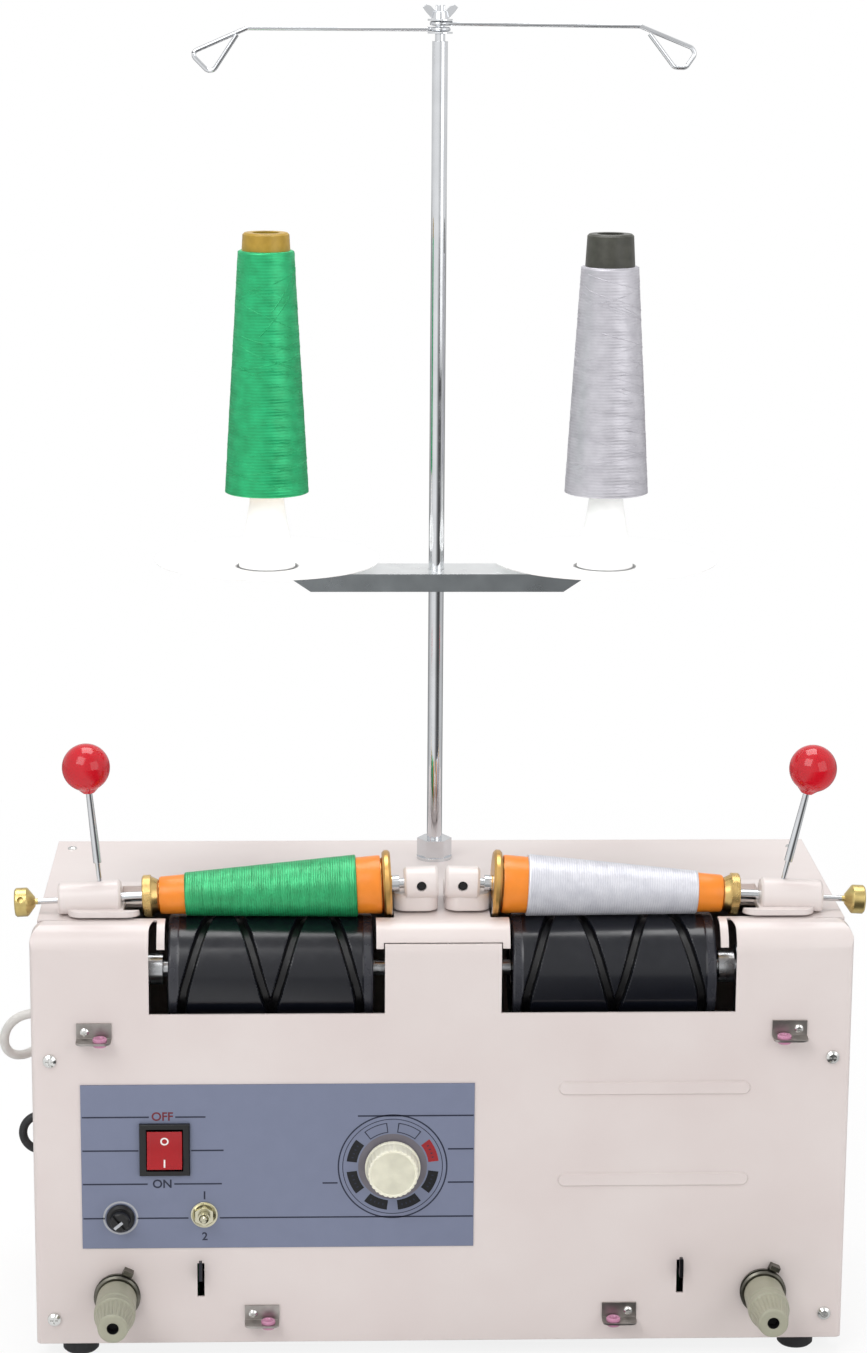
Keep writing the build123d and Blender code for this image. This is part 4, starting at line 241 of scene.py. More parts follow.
def woundYarn(name, darkToneAndShadeHex, lightToneAndHighlightHex, pitchMm, crossing, contrast, axis, gloss, turnDepth):
    # continuous-filament polyester in crossing turns: a silky skin with fine turns round the cone
    # the real turns are about 0.2 mm apart and are drawn coarser here so that they show
    material, tree, surface = startMaterial(name)
    wind = addNode(tree, "ShaderNodeUVMap", uv_map="wind").outputs["UV"]
    parts = addNode(tree, "ShaderNodeSeparateXYZ", {"Vector": wind})
    heights = []
    for way in (-1, 1):
        lean = addNode(
            tree, "ShaderNodeMath", {0: parts.outputs["X"], 1: way * crossing}, operation="MULTIPLY"
        )
        turns = addNode(tree, "ShaderNodeMath", {0: parts.outputs["Y"], 1: 1 / pitchMm}, operation="MULTIPLY")
        phase = addNode(tree, "ShaderNodeMath", {0: lean.outputs[0], 1: turns.outputs[0]}, operation="ADD")
        fold = addNode(tree, "ShaderNodeMath", {0: phase.outputs[0], 1: 1.0}, operation="PINGPONG")
        heights.append(fold.outputs[0])
    place = objectPlace(tree)
    choose = mottle(tree, place, 3.0, 0.0, 1.0, 4.0)
    weave = addNode(
        tree, "ShaderNodeMix", {0: choose, 2: heights[0], 3: heights[1]}, data_type="FLOAT"
    ).outputs[0]
    cloud = mottle(tree, place, 7.0, 0.3, 0.7, 3.0)
    depth = addNode(tree, "ShaderNodeMapRange", {"Value": weave, "To Min": -contrast, "To Max": contrast})
    # the colour follows the turns' relief: painted shade in the hollows between turns and painted highlight
    # on their crowns, plus a random cloudy tone
    shade = addNode(
        tree, "ShaderNodeMath", {0: depth.outputs["Result"], 1: cloud}, operation="ADD"
    ).outputs[0]
    tangent = addNode(tree, "ShaderNodeTangent", direction_type="RADIAL", axis=axis).outputs["Tangent"]
    setSurface(tree, surface, {
        "Base Color": colourBlend(tree, shade, tint(darkToneAndShadeHex), tint(lightToneAndHighlightHex)), "Roughness": 0.3,
        "Metallic": gloss, "Sheen Weight": 0.15, "Sheen Roughness": 0.3, "Sheen Tint": tint(lightToneAndHighlightHex),
        "Specular IOR Level": 0.9, "Anisotropic": 0.9, "Tangent": tangent,
        "Normal": relief(tree, weave, turnDepth)})
    return material


def splitMetal(name, nearHex, farHex, boundaryMm, nearRough, farRough):
    # one turned piece of two metals, which meet at a distance from the machine's middle
    material, tree, surface = startMaterial(name)
    place = objectPlace(tree)
    side = addNode(tree, "ShaderNodeSeparateXYZ", {"Vector": place}).outputs["X"]
    offset = addNode(tree, "ShaderNodeMath", {0: side, 1: middleX}, operation="SUBTRACT")
    away = addNode(tree, "ShaderNodeMath", {0: offset.outputs[0]}, operation="ABSOLUTE")
    far = addNode(
        tree, "ShaderNodeMath", {0: away.outputs[0], 1: boundaryMm * mm}, operation="GREATER_THAN"
    ).outputs[0]
    stain = mottle(tree, place, 4.0, 0.0, 0.3, 5.0)
    worn = colourBlend(tree, stain, tint(farHex), tint("#8A6A38"))
    rough = addNode(tree, "ShaderNodeMapRange", {"Value": far, "To Min": nearRough, "To Max": farRough})
    turning = addNode(tree, "ShaderNodeMapping", {"Vector": place, "Scale": (1.0, 0.1, 0.1)})
    lines = addNode(
        tree, "ShaderNodeTexNoise",
        {"Vector": turning.outputs["Vector"], "Scale": 1000 / 0.3, "Detail": 2.0}
    ).outputs["Fac"]
    setSurface(tree, surface, {
        "Base Color": colourBlend(tree, far, tint(nearHex), worn), "Metallic": 1.0,
        "Roughness": rough.outputs["Result"], "Normal": relief(tree, lines, 0.005, softEdge(tree, 0.25))})
    return material


def cloudyPlateWithPaintedGlow(name):
    # vacuum-formed white polystyrene, thin and milky; a weak white emission is a painted glow standing in for
    # light coming through it
    material, tree, surface = startMaterial(name)
    place = objectPlace(tree)
    setSurface(tree, surface, {
        "Base Color": colourBlend(
            tree, mottle(tree, place, 30.0, 0.0, 1.0), tint("#F6F6F4"), tint("#FDFDFC")
        ), "Roughness": mottle(tree, place, 12.0, 0.28, 0.4), "Emission Color": tint("#FFFFFF"),
        "Emission Strength": 0.22,
        "Normal": relief(tree, mottle(tree, place, 0.8, 0.0, 1.0), 0.01, softEdge(tree, 0.5))})
    return material


def trayMetalWithPaintedShade(name, shadedFlangeHex, litTopHex):
    # rolled galvanised sheet; faces that point up get a light colour and the folded flanges a darker one,
    # painted shade standing in for the dark surroundings the flanges mirror
    material, tree, surface = startMaterial(name)
    place = objectPlace(tree)
    facing = addNode(tree, "ShaderNodeNewGeometry").outputs["True Normal"]
    upward = addNode(tree, "ShaderNodeSeparateXYZ", {"Vector": facing}).outputs["Z"]
    flat = addNode(
        tree, "ShaderNodeMapRange", {"Value": upward, "From Min": 0.6, "From Max": 0.9}
    ).outputs["Result"]
    rolling = addNode(tree, "ShaderNodeMapping", {"Vector": place, "Scale": (0.08, 1.0, 1.0)})
    lines = addNode(
        tree, "ShaderNodeTexNoise", {"Vector": rolling.outputs["Vector"], "Scale": 2000.0, "Detail": 2.0}
    ).outputs["Fac"]
    shadedFlangeLow, shadedFlangeHigh = shades(shadedFlangeHex, 0.08)
    flange = colourBlend(tree, mottle(tree, place, 14.0, 0.0, 1.0), shadedFlangeLow, shadedFlangeHigh)
    setSurface(tree, surface, {
        "Base Color": colourBlend(tree, flat, flange, tint(litTopHex)), "Metallic": 1.0,
        "Roughness": mottle(tree, place, 11.0, 0.26, 0.36),
        "Normal": relief(tree, lines, 0.005, softEdge(tree, 0.25)),
    })
    return material


def spunFace(name, colourHex):
    # a lacquered disc turned with a broad tool: circular lines that throw fan-shaped highlights
    material, tree, surface = startMaterial(name)
    place = objectPlace(tree)
    low, high = shades(colourHex, 0.05)
    setSurface(tree, surface, {
        "Base Color": colourBlend(tree, mottle(tree, place, 5.0, 0.0, 1.0), low, high),
        "Metallic": 0.55, "Roughness": 0.3, "Anisotropic": 0.9,
        "Tangent": addNode(tree, "ShaderNodeTangent", direction_type="RADIAL", axis="Y").outputs["Tangent"],
        "Normal": relief(tree, mottle(tree, place, 0.5, 0.0, 1.0), 0.004),
    })
    return material


def stockTubePlastic():
    # two moulded cone tubes: a translucent ochre one on the left and a smoky olive one on the right
    material, tree, surface = startMaterial("moulded stock tubes")
    place = objectPlace(tree)
    side = addNode(tree, "ShaderNodeSeparateXYZ", {"Vector": place})
    right = addNode(tree, "ShaderNodeMath", {0: side.outputs["X"], 1: middleX}, operation="GREATER_THAN")
    cloud = mottle(tree, place, 6.0, 0.0, 1.0)
    ochre = colourBlend(tree, cloud, tint("#A9872A"), tint("#BF9A38"))
    olive = colourBlend(tree, cloud, tint("#35352E"), tint("#4A4A42"))
    setSurface(tree, surface, {
        "Base Color": colourBlend(tree, right.outputs[0], ochre, olive), "Roughness": 0.38,
        "Normal": relief(tree, mottle(tree, place, 0.5, 0.0, 1.0), 0.01, softEdge(tree, 0.3)),
    })
    return material


# painted metal: the case's powder coat is a warm pale pink-grey with a satin sheen
casePaint = paintedSheet("powder-coated case steel", ("#DBCFCC", "#E0D6D3"), 0.9, 0.34, 0.5)
# lumpier, over a casting
headPaint = paintedSheet("enamelled cast head", ("#E3D9D6", "#EAE1DE"), 1.6, 0.34, 0.8)
motorPaint = paintedSheet("stoved motor paint", ("#33363B", "#3D4046"), 1.2, 0.45, 0.6)  # dull charcoal

# the panel is a matt slate-blue film with inks printed on it, all as flat as paper
panelFilm = plainPlastic("printed polycarbonate panel film", "#767D95", 0.42, 0.35, 0.006, 0.3, 0.0, 0.018)
inkNavy = plainPlastic("screen ink navy", "#20253B", 0.5, 0.5, 0.002, 0.02)
inkBlack = plainPlastic("screen ink black", "#0A0C14", 0.45, 0.5, 0.002, 0.02)
inkRed = plainPlastic("screen ink red", "#9A1A22", 0.45, 0.5, 0.002, 0.02)
inkMaroon = plainPlastic("screen ink maroon", "#6E1F2A", 0.5, 0.5, 0.002, 0.02)
inkPale = plainPlastic("pale grey enamel", "#B4B6BC", 0.4, 0.5, 0.002, 0.02)
inkWhite = plainPlastic("pad-printed white", "#F3ECEA", 0.45, 0.5, 0.002, 0.02)
# painted shadow: the warm grey ring round the foot of the speed knob
knobShadowGrey = plainPlastic("painted shadow grey round the knob", "#6F6B74", 0.5, 0.5, 0.002, 0.02)

# moulded and turned plastics
mouldedBlack = plainPlastic("moulded black nylon", "#0C0C0F", 0.34)  # satin, with a soft edge line
drumBakelite = plainPlastic("turned black bakelite", "#0F1119", 0.2, 1.2, 0.004, 0.4)  # long glossy streaks
# painted shade: darker, duller bakelite on the groove floors
drumGroove = plainPlastic("bakelite in the shadow of the groove", "#08080B", 0.4, 1.2, 0.004, 0.2)
drumRim = plainPlastic("thin bakelite rim", "#2B2C33", 0.26, 1.2, 0.004, 0.4)  # painted light: a lighter grey on the thin end rims stands in for light coming through them
rockerRed = plainPlastic("glossy red polycarbonate", "#A60714", 0.18, 0.6, 0.004, 0.5, 0.15)  # clear depth
knobIvory = plainPlastic("ivory urea knob", "#EFECD8", 0.3, 0.5, 0.006, 0.3, 0.1)  # waxy and slightly deep
spunInsert = spunFace("spun insert of the knob", "#F4F1DC")  # fans of light across a pale disc
tensionPlastic = plainPlastic("grey-green acetal", "#A3A28F", 0.42, 0.35, 0.012)  # dry and waxy
ballRed = plainPlastic("polished red phenolic", "#C60E20", 0.1, 2.0, 0.003, 0.4)  # mirror-like highlights
# glows at its edges
orangeTube = plainPlastic("orange polypropylene tube", "#F28A26", 0.34, 0.6, 0.01, 0.4, 0.1)
stockTube = stockTubePlastic()
plateWhite = cloudyPlateWithPaintedGlow("milky polystyrene plate")
boardGreen = plainPlastic("green circuit board", "#2F6B43", 0.4, 2.0, 0.02)  # varnished fibreglass
holeShade = plainPlastic("unlit bore", "#0B0B0C", 0.6, 0.5, 0.01)  # painted shade: the near-black an open hole shows from outside
eyeletPink = plainPlastic("glazed pink alumina", "#C98BAA", 0.14, 1.0, 0.003, 0.2)  # hard glassy glaze

# rubbers and cord covers
footRubber = plainPlastic("moulded rubber", "#232325", 0.7, 0.5, 0.03)  # dull and dusty black
leadRubber = plainPlastic("black rubber lead", "#1B1C1E", 0.45, 0.5, 0.02)  # soft sheen along the bend
cordVinyl = plainPlastic("light grey vinyl cord", "#D9D7D3", 0.4, 0.5, 0.012)  # smooth, a little greasy
beltRubber = plainPlastic("polyurethane round belt", "#5A2F1E", 0.4, 0.8, 0.01)  # brown and rubbery

# metals: plain tones, with stains where the plating has dulled
zincSteel = workedMetal("zinc-plated steel", "#C9CBCD", 0.28, 0.3, (1.0, 1.0, 1.0))  # cloudy bright
# a clean mirror
mastChrome = workedMetal("chromed steel tube", "#DADCDF", 0.09, 0.5, (1.0, 1.0, 0.05), 0.002)
# sharp glints
screwNickel = workedMetal("nickel-plated screw steel", "#DCDCDA", 0.16, 0.4, (1.0, 1.0, 1.0), 0.002, 0.15)
# handled, grey
guideNickel = workedMetal(
    "satin nickel guide plates", "#B4AFAB", 0.36, 0.4, (1.0, 1.0, 1.0), 0.003, 0.2, 0.35, "#4A4544"
)
# rolling lines
bracketSteel = workedMetal("mill-finish steel plate", "#8E9194", 0.4, 0.35, (1.0, 1.0, 0.1), 0.006)
# warm and bright
toggleNickel = workedMetal("yellowed nickel plate", "#CFCBB4", 0.2, 0.4, (1.0, 1.0, 1.0), 0.002, 0.15)
# oily dark
discSteel = workedMetal(
    "dulled nickel discs", "#77756C", 0.34, 0.4, (1.0, 1.0, 1.0), 0.004, 0.2, 0.5, "#2A2824"
)
# dark with a sheen
discBlack = workedMetal("blued spring steel", "#3A3B40", 0.32, 0.4, (1.0, 1.0, 1.0), 0.004, 0.2)
# painted shade: the folded tray flanges are given a darker colour than the upward faces
galvanised = trayMetalWithPaintedShade("galvanised tray sheet with painted flange shade", "#94999C", "#EDEFF0")
# tool rings
turnedBrass = workedMetal("turned brass", "#DDBE7E", 0.26, 0.3, (1.0, 0.1, 0.1), 0.006, 0.25, 0.3, "#8A6A38")
chuckMetal = splitMetal("brass flange on a bright steel spindle", "#D2D4D6", "#DDB06A", 25.2, 0.14, 0.32)
plungerMetal = splitMetal("steel plunger with a brass pull knob", "#D2D4D6", "#DCC684", 203.5, 0.14, 0.3)

# yarns: fine on the small cones, coarser and smoother on the stock cones
yarnGreen = woundYarn("green filament yarn", "#067A42", "#2CC078", 0.6, 3, 0.4, "X", 0.4, 0.05)
yarnGrey = woundYarn("silver-grey filament yarn", "#C2C3CD", "#ECECF2", 0.6, 3, 0.35, "X", 0.25, 0.04)
stockGreen = woundYarn(
    "green filament yarn on the stock cone", "#079053", "#1FCB82", 0.8, 4, 0.18, "Z", 0.45, 0.03
)
stockGrey = woundYarn(
    "silver-grey yarn on the stock cone", "#AFADB5", "#D8D6DD", 0.8, 4, 0.18, "Z", 0.35, 0.03
)

nodeFinish = {
    "front_cover": casePaint, "top_cover": casePaint, "rear_case": casePaint, "base_plate": bracketSteel,
    "feet": footRubber, "cover_screws": screwNickel, "control_panel": panelFilm,
    "rocker_bezel": mouldedBlack, "rocker": rockerRed, "fuse_holder": mouldedBlack,
    "toggle_switch": toggleNickel, "toggle_lever": toggleNickel, "speed_knob": knobIvory,
    "electrics": boardGreen, "guide_brackets": guideNickel, "guide_eyelets": eyeletPink,
    "tension_posts": tensionPlastic, "tension_discs": discSteel, "drum_axle": zincSteel,
    "drum_brackets": bracketSteel, "drum_bearings": zincSteel, "belt": beltRubber, "motor": motorPaint,
    "motor_pulley": zincSteel, "cradle_mounts": headPaint, "mast": mastChrome, "wing_nut": mastChrome,
    "tray": galvanised, "spool_stands": plateWhite, "supply_tubes": stockTube,
    "supply_thread_green": stockGreen, "supply_thread_grey": stockGrey, "side_lead": leadRubber,
    "power_cord": cordVinyl, "power_coil": cordVinyl, "power_plug": cordVinyl,
}
for side in ("left", "right"):
    nodeFinish.update(
        {
            "tension_knob_" + side: tensionPlastic, "feeler_" + side: discBlack,
            "drum_" + side: drumBakelite, "cradle_" + side: headPaint, "lever_rod_" + side: mastChrome,
            "lever_ball_" + side: ballRed, "large_chuck_" + side: chuckMetal,
            "cone_tube_" + side: orangeTube, "small_chuck_" + side: turnedBrass,
            "cone_thread_" + side: yarnGreen if side == "left" else yarnGrey,
            "plunger_" + side: plungerMetal, "thread_arm_" + side: mastChrome,
        }
    )
print("stage: materials")


# geometry node trees
def geometryTree(name, inputs):
    tree = bpy.data.node_groups.new(name, "GeometryNodeTree")
    tree.interface.new_socket("Geometry", in_out="INPUT", socket_type="NodeSocketGeometry")
    tree.interface.new_socket("Geometry", in_out="OUTPUT", socket_type="NodeSocketGeometry")
    for label, kind in inputs.items():
        tree.interface.new_socket(label, in_out="INPUT", socket_type=kind)
    return tree, addNode(tree, "NodeGroupInput")


def smoothTree():
    # joins the loose triangles of a CAD mesh for display and shades it smooth up to an angle
    tree, source = geometryTree("softenFaces", {"Sharp Angle": "NodeSocketFloat"})
    merged = addNode(tree, "GeometryNodeMergeByDistance", {
        "Geometry": source.outputs["Geometry"], "Distance": 0.000002})
    angle = addNode(tree, "GeometryNodeInputMeshEdgeAngle")
    sharp = addNode(
        tree, "FunctionNodeCompare", {0: angle.outputs["Unsigned Angle"], 1: source.outputs["Sharp Angle"]},
        operation="GREATER_THAN"
    )
    smoothFaces = addNode(
        tree, "GeometryNodeSetShadeSmooth", {"Geometry": merged.outputs["Geometry"], "Shade Smooth": True},
        domain="FACE"
    )
    hardEdges = addNode(
        tree, "GeometryNodeSetShadeSmooth",
        {
            "Geometry": smoothFaces.outputs["Geometry"], "Selection": sharp.outputs["Result"],
            "Shade Smooth": False
        }, domain="EDGE"
    )
    addNode(tree, "NodeGroupOutput", {"Geometry": hardEdges.outputs["Geometry"]})
    return tree


def giveModifier(piece, tree, values):
    modifier = piece.modifiers.new(tree.name, "NODES")
    modifier.node_group = tree
    for item in tree.interface.items_tree:
        if item.in_out == "INPUT" and item.name in values:
            modifier[item.identifier] = values[item.name]
    return modifier


def bakeNodes(tree, name, values, seat=Matrix.Identity(4)):
    # runs a tree on an empty mesh and keeps the result as a plain mesh
    holder = bpy.data.objects.new(name + "Source", bpy.data.meshes.new(name + "Source"))
    scene.collection.objects.link(holder)
    giveModifier(holder, tree, values)
    graph = bpy.context.evaluated_depsgraph_get()
    mesh = bpy.data.meshes.new_from_object(holder.evaluated_get(graph))
    mesh.name = name
    mesh.transform(seat)
    bpy.data.objects.remove(holder)
    piece = bpy.data.objects.new(name, mesh)
    scene.collection.objects.link(piece)
    return piece


def ringTree():
    # small blocks stood round a circle in the local XY plane, for knurls, flutes and ribs
    tree, source = geometryTree("blocksRoundCircle", {
        "Count": "NodeSocketInt", "Radius": "NodeSocketFloat", "Block Size": "NodeSocketVector",
        "Height": "NodeSocketFloat", "Material": "NodeSocketMaterial"})
    circle = addNode(tree, "GeometryNodeMeshCircle", {
        "Vertices": source.outputs["Count"], "Radius": source.outputs["Radius"]})
    block = addNode(tree, "GeometryNodeMeshCube", {
        "Size": source.outputs["Block Size"], "Vertices X": 2, "Vertices Y": 2, "Vertices Z": 2})
    index = addNode(tree, "GeometryNodeInputIndex")
    share = addNode(
        tree, "ShaderNodeMath", {0: index.outputs[0], 1: source.outputs["Count"]}, operation="DIVIDE"
    )
    turn = addNode(tree, "ShaderNodeMath", {0: share.outputs[0], 1: math.tau}, operation="MULTIPLY")
    spin = addNode(tree, "ShaderNodeCombineXYZ", {"Z": turn.outputs[0]})
    stood = addNode(tree, "GeometryNodeInstanceOnPoints", {
        "Points": circle.outputs["Mesh"], "Instance": block.outputs["Mesh"], "Rotation": spin.outputs[0]})
    lift = addNode(tree, "ShaderNodeCombineXYZ", {"Z": source.outputs["Height"]})
    lifted = addNode(tree, "GeometryNodeTransform", {
        "Geometry": stood.outputs["Instances"], "Translation": lift.outputs[0]})
    real = addNode(tree, "GeometryNodeRealizeInstances", {"Geometry": lifted.outputs["Geometry"]})
    dressed = addNode(tree, "GeometryNodeSetMaterial", {
        "Geometry": real.outputs["Geometry"], "Material": source.outputs["Material"]})
    addNode(tree, "NodeGroupOutput", {"Geometry": dressed.outputs["Geometry"]})
    return tree


def strandTree():
    # one strand of yarn wound round a cone that stands on the local Z axis
    tree, source = geometryTree("strandRoundCone", {
        "Low Radius": "NodeSocketFloat", "High Radius": "NodeSocketFloat", "Low Height": "NodeSocketFloat",
        "High Height": "NodeSocketFloat", "Turns": "NodeSocketFloat", "Start": "NodeSocketFloat",
        "Strand Radius": "NodeSocketFloat", "Points": "NodeSocketInt", "Material": "NodeSocketMaterial"})
    line = addNode(tree, "GeometryNodeCurvePrimitiveLine", {"Start": (0, 0, 0), "End": (0, 0, 1)})
    many = addNode(tree, "GeometryNodeResampleCurve", {
        "Curve": line.outputs["Curve"], "Count": source.outputs["Points"]})
    along = addNode(tree, "GeometryNodeSplineParameter").outputs["Factor"]
    radius = addNode(tree, "ShaderNodeMapRange", {
        "Value": along, "To Min": source.outputs["Low Radius"], "To Max": source.outputs["High Radius"]})
    height = addNode(tree, "ShaderNodeMapRange", {
        "Value": along, "To Min": source.outputs["Low Height"], "To Max": source.outputs["High Height"]})
    turned = addNode(tree, "ShaderNodeMath", {0: along, 1: source.outputs["Turns"]}, operation="MULTIPLY")
    started = addNode(
        tree, "ShaderNodeMath", {0: turned.outputs[0], 1: source.outputs["Start"]}, operation="ADD"
    )
    angle = addNode(tree, "ShaderNodeMath", {0: started.outputs[0], 1: math.tau}, operation="MULTIPLY")
    cosine = addNode(tree, "ShaderNodeMath", {0: angle.outputs[0]}, operation="COSINE")
    sine = addNode(tree, "ShaderNodeMath", {0: angle.outputs[0]}, operation="SINE")
    x = addNode(tree, "ShaderNodeMath", {0: cosine.outputs[0], 1: radius.outputs[0]}, operation="MULTIPLY")
    y = addNode(tree, "ShaderNodeMath", {0: sine.outputs[0], 1: radius.outputs[0]}, operation="MULTIPLY")
    place = addNode(tree, "ShaderNodeCombineXYZ", {
        "X": x.outputs[0], "Y": y.outputs[0], "Z": height.outputs[0]})
    moved = addNode(tree, "GeometryNodeSetPosition", {
        "Geometry": many.outputs["Curve"], "Position": place.outputs[0]})
    profile = addNode(tree, "GeometryNodeCurvePrimitiveCircle", {
        "Resolution": 5, "Radius": source.outputs["Strand Radius"]})
    tube = addNode(tree, "GeometryNodeCurveToMesh", {
        "Curve": moved.outputs["Geometry"], "Profile Curve": profile.outputs["Curve"], "Fill Caps": True})
    real = addNode(tree, "GeometryNodeRealizeInstances", {"Geometry": tube.outputs["Mesh"]})
    dressed = addNode(tree, "GeometryNodeSetMaterial", {
        "Geometry": real.outputs["Geometry"], "Material": source.outputs["Material"]})
    addNode(tree, "NodeGroupOutput", {"Geometry": dressed.outputs["Geometry"]})
    return tree


softenFaces = smoothTree()
blocksRound = ringTree()
strandRound = strandTree()


# mesh helpers
def keepPiece(name, mesh, material, body, smooth=True):
    piece = bpy.data.objects.new(name, mesh)
    scene.collection.objects.link(piece)
    mesh.materials.clear()
    mesh.materials.append(material)
    mesh.polygons.foreach_set("use_smooth", [smooth] * len(mesh.polygons))
    mesh.update()
    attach(piece, body)
    return piece


def joinPieces(name, pieces):
    # one mesh out of several whose places are already in their meshes
    joined = bmesh.new()
    for piece in pieces:
        joined.from_mesh(piece.data)
    mesh = bpy.data.meshes.new(name)
    joined.to_mesh(mesh)
    joined.free()
    for piece in pieces:
        bpy.data.objects.remove(piece)
    return mesh


def turnedMesh(name, seat, outline, steps, shape=None, uvName=None):
    # a turned surface; outline is (height, radius) in mm along the seat's Z axis
    # shape gives a new radius from the angle, height and radius
    vertices = []
    for height, radius in outline:
        for step in range(steps):
            angle = math.tau * step / steps
            r = shape(angle, height, radius) if shape else radius
            vertices.append(seat @ Vector((math.cos(angle) * r * mm, math.sin(angle) * r * mm, height * mm)))
    rows = len(outline)
    faces = []
    for row in range(rows - 1):
        here, there = row * steps, (row + 1) * steps
        for step in range(steps):
            after = (step + 1) % steps
            faces.append((here + step, here + after, there + after, there + step))
    faces.append(tuple(reversed(range(steps))))
    faces.append(tuple(range((rows - 1) * steps, rows * steps)))
    mesh = bpy.data.meshes.new(name)
    mesh.from_pydata(vertices, [], faces)
    if uvName:
        layer = mesh.uv_layers.new(name=uvName)
        for face in mesh.polygons:
            firstStep = min(index % steps for index in face.vertices)
            wraps = max(index % steps for index in face.vertices) - firstStep > 1
            for corner, index in zip(face.loop_indices, face.vertices):
                step = index % steps
                share = 1.0 if wraps and step == firstStep else step / steps
                layer.data[corner].uv = (share, outline[index // steps][0])
    mesh.validate()
    fixOutward(mesh)
    return mesh


def fixOutward(mesh):
    shell = bmesh.new()
    shell.from_mesh(mesh)
    bmesh.ops.recalc_face_normals(shell, faces=shell.faces)
    shell.to_mesh(mesh)
    shell.free()


def seatAlong(origin, axis, towards=Vector((0, 1, 0))):
    # a place whose Z axis runs along the given one and whose X axis leans to towards
    zAxis = Vector(axis).normalized()
    xAxis = (towards - zAxis * towards.dot(zAxis)).normalized()
    yAxis = zAxis.cross(xAxis)
    turn = Matrix((xAxis, yAxis, zAxis)).transposed().to_4x4()
    return Matrix.Translation(origin) @ turn


def headSeat(side):
    joint = jointNamed("cone_spin_" + side)
    return seatAlong(Vector(joint["pos_m"]), joint["axis"])


def strandValues(low, high, lowRadius, highRadius, turns, start, thickness, points, material):
    # the strand tree's inputs from heights and radii in millimetres
    return {"Low Radius": lowRadius * mm, "High Radius": highRadius * mm, "Low Height": low * mm,
            "High Height": high * mm, "Turns": turns, "Start": start, "Strand Radius": thickness * mm,
            "Points": points, "Material": material}


# traverse drums
drumLook = {
    "radius": 28.0, "length": 102.5, "inner": 35.0, "y": 30.0, "z": 199.0, "grooveWidth": 5.0,
    "grooveDepth": 3.2, "reach": 47.0, "turnsOut": 2, "phase": 0.734, "phaseAngle": 30.0, "roundOff": 0.1,
    "columns": 216, "steps": 216, "rimWidth": 5.0, "rimStep": 0.25, "chamfer": 0.7, "chamferFall": 0.9,
    "grooveWall": 0.9, "endRings": ((0.0, 23.5), (1.6, 22.8), (1.6, 12.0), (0.0, 11.2), (0.0, 4.1)),
    "sharpAngle": 28.0
}


def traverse(turns):
    # the yarn track's place along the drum after a number of turns, softly rounded where it turns back
    period = 2 * drumLook["turnsOut"]
    share = (turns % period) / drumLook["turnsOut"]
    swing = -1 + 2 * share if share <= 1 else 3 - 2 * share
    size = abs(swing)
    soft = drumLook["roundOff"]
    if size > 1 - soft:
        size = size - (size - 1 + soft) ** 2 / (2 * soft)
    return math.copysign(size, swing) * drumLook["reach"]


def grooveDrum(side):
    sign = -1 if side == "left" else 1
    look = drumLook
    centre = sign * (look["inner"] + look["length"] / 2)
    columns, steps = look["columns"], look["steps"]
    slope = math.cos(math.atan(look["reach"] / (math.tau * look["radius"])))
    half = look["grooveWidth"] / 2
    vertices = []
    sunk = []
    for column in range(columns + 1):
        x = -look["length"] / 2 + look["length"] * column / columns
        fromEnd = look["length"] / 2 - abs(x)
        edge = look["radius"] - max(0.0, look["chamfer"] - fromEnd) * look["chamferFall"]
        if fromEnd < look["rimWidth"]:
            edge -= look["rimStep"]
        for step in range(steps):
            psi = math.tau * step / steps
            turn = look["phase"] + (math.degrees(psi) - look["phaseAngle"]) / 360
            nearest = min(abs(x - traverse(turn + k)) for k in range(2 * look["turnsOut"])) * slope
            depth = 0.0
            if nearest < half:
                depth = look["grooveDepth"] * min(1.0, (half - nearest) / look["grooveWall"])
            radius = edge - depth
            sunk.append(depth > 0)
            vertices.append(
                at(centre + x, look["y"] - radius * math.sin(psi), look["z"] + radius * math.cos(psi))
            )
    faces = []
    for column in range(columns):
        here, there = column * steps, (column + 1) * steps
        for step in range(steps):
            after = (step + 1) % steps
            faces.append((here + step, here + after, there + after, there + step))
    for end, column in ((-1, 0), (1, columns)):
        previous = [column * steps + step for step in range(steps)]
        for inward, radius in look["endRings"]:  # a shallow recess between the rim and the hub
            ring = []
            for step in range(steps):
                psi = math.tau * step / steps
                ring.append(len(vertices))
                x = centre + end * (look["length"] / 2 - inward)
                vertices.append(at(x, look["y"] - radius * math.sin(psi), look["z"] + radius * math.cos(psi)))
            for step in range(steps):
                after = (step + 1) % steps
                faces.append((previous[step], previous[after], ring[after], ring[step]))
            previous = ring
        if end == -1:
            firstBore = previous
    for step in range(steps):
        after = (step + 1) % steps
        faces.append((firstBore[step], firstBore[after], previous[after], previous[step]))
    mesh = bpy.data.meshes.new("traverseDrum_" + side)
    mesh.from_pydata(vertices, [], faces)
    fixOutward(mesh)
    drum = keepPiece("traverseDrum_" + side, mesh, drumBakelite, "drums")
    mesh.materials.append(drumGroove)
    mesh.materials.append(drumRim)
    rimColumns = look["rimWidth"] / look["length"] * columns
    for face in mesh.polygons:
        if face.index < columns * steps:
            column = face.index // steps
            # the sunk groove floors take the darker material, painted shade in the recess
            if all(sunk[corner] for corner in face.vertices):
                face.material_index = 1
            # the end rims take the lighter grey, painted light
            elif column < rimColumns or column >= columns - rimColumns:
                face.material_index = 2
    mesh.set_sharp_from_angle(angle=math.radians(look["sharpAngle"]))
    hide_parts("drum_" + side)


for side in ("left", "right"):
    grooveDrum(side)
print("stage: drums")


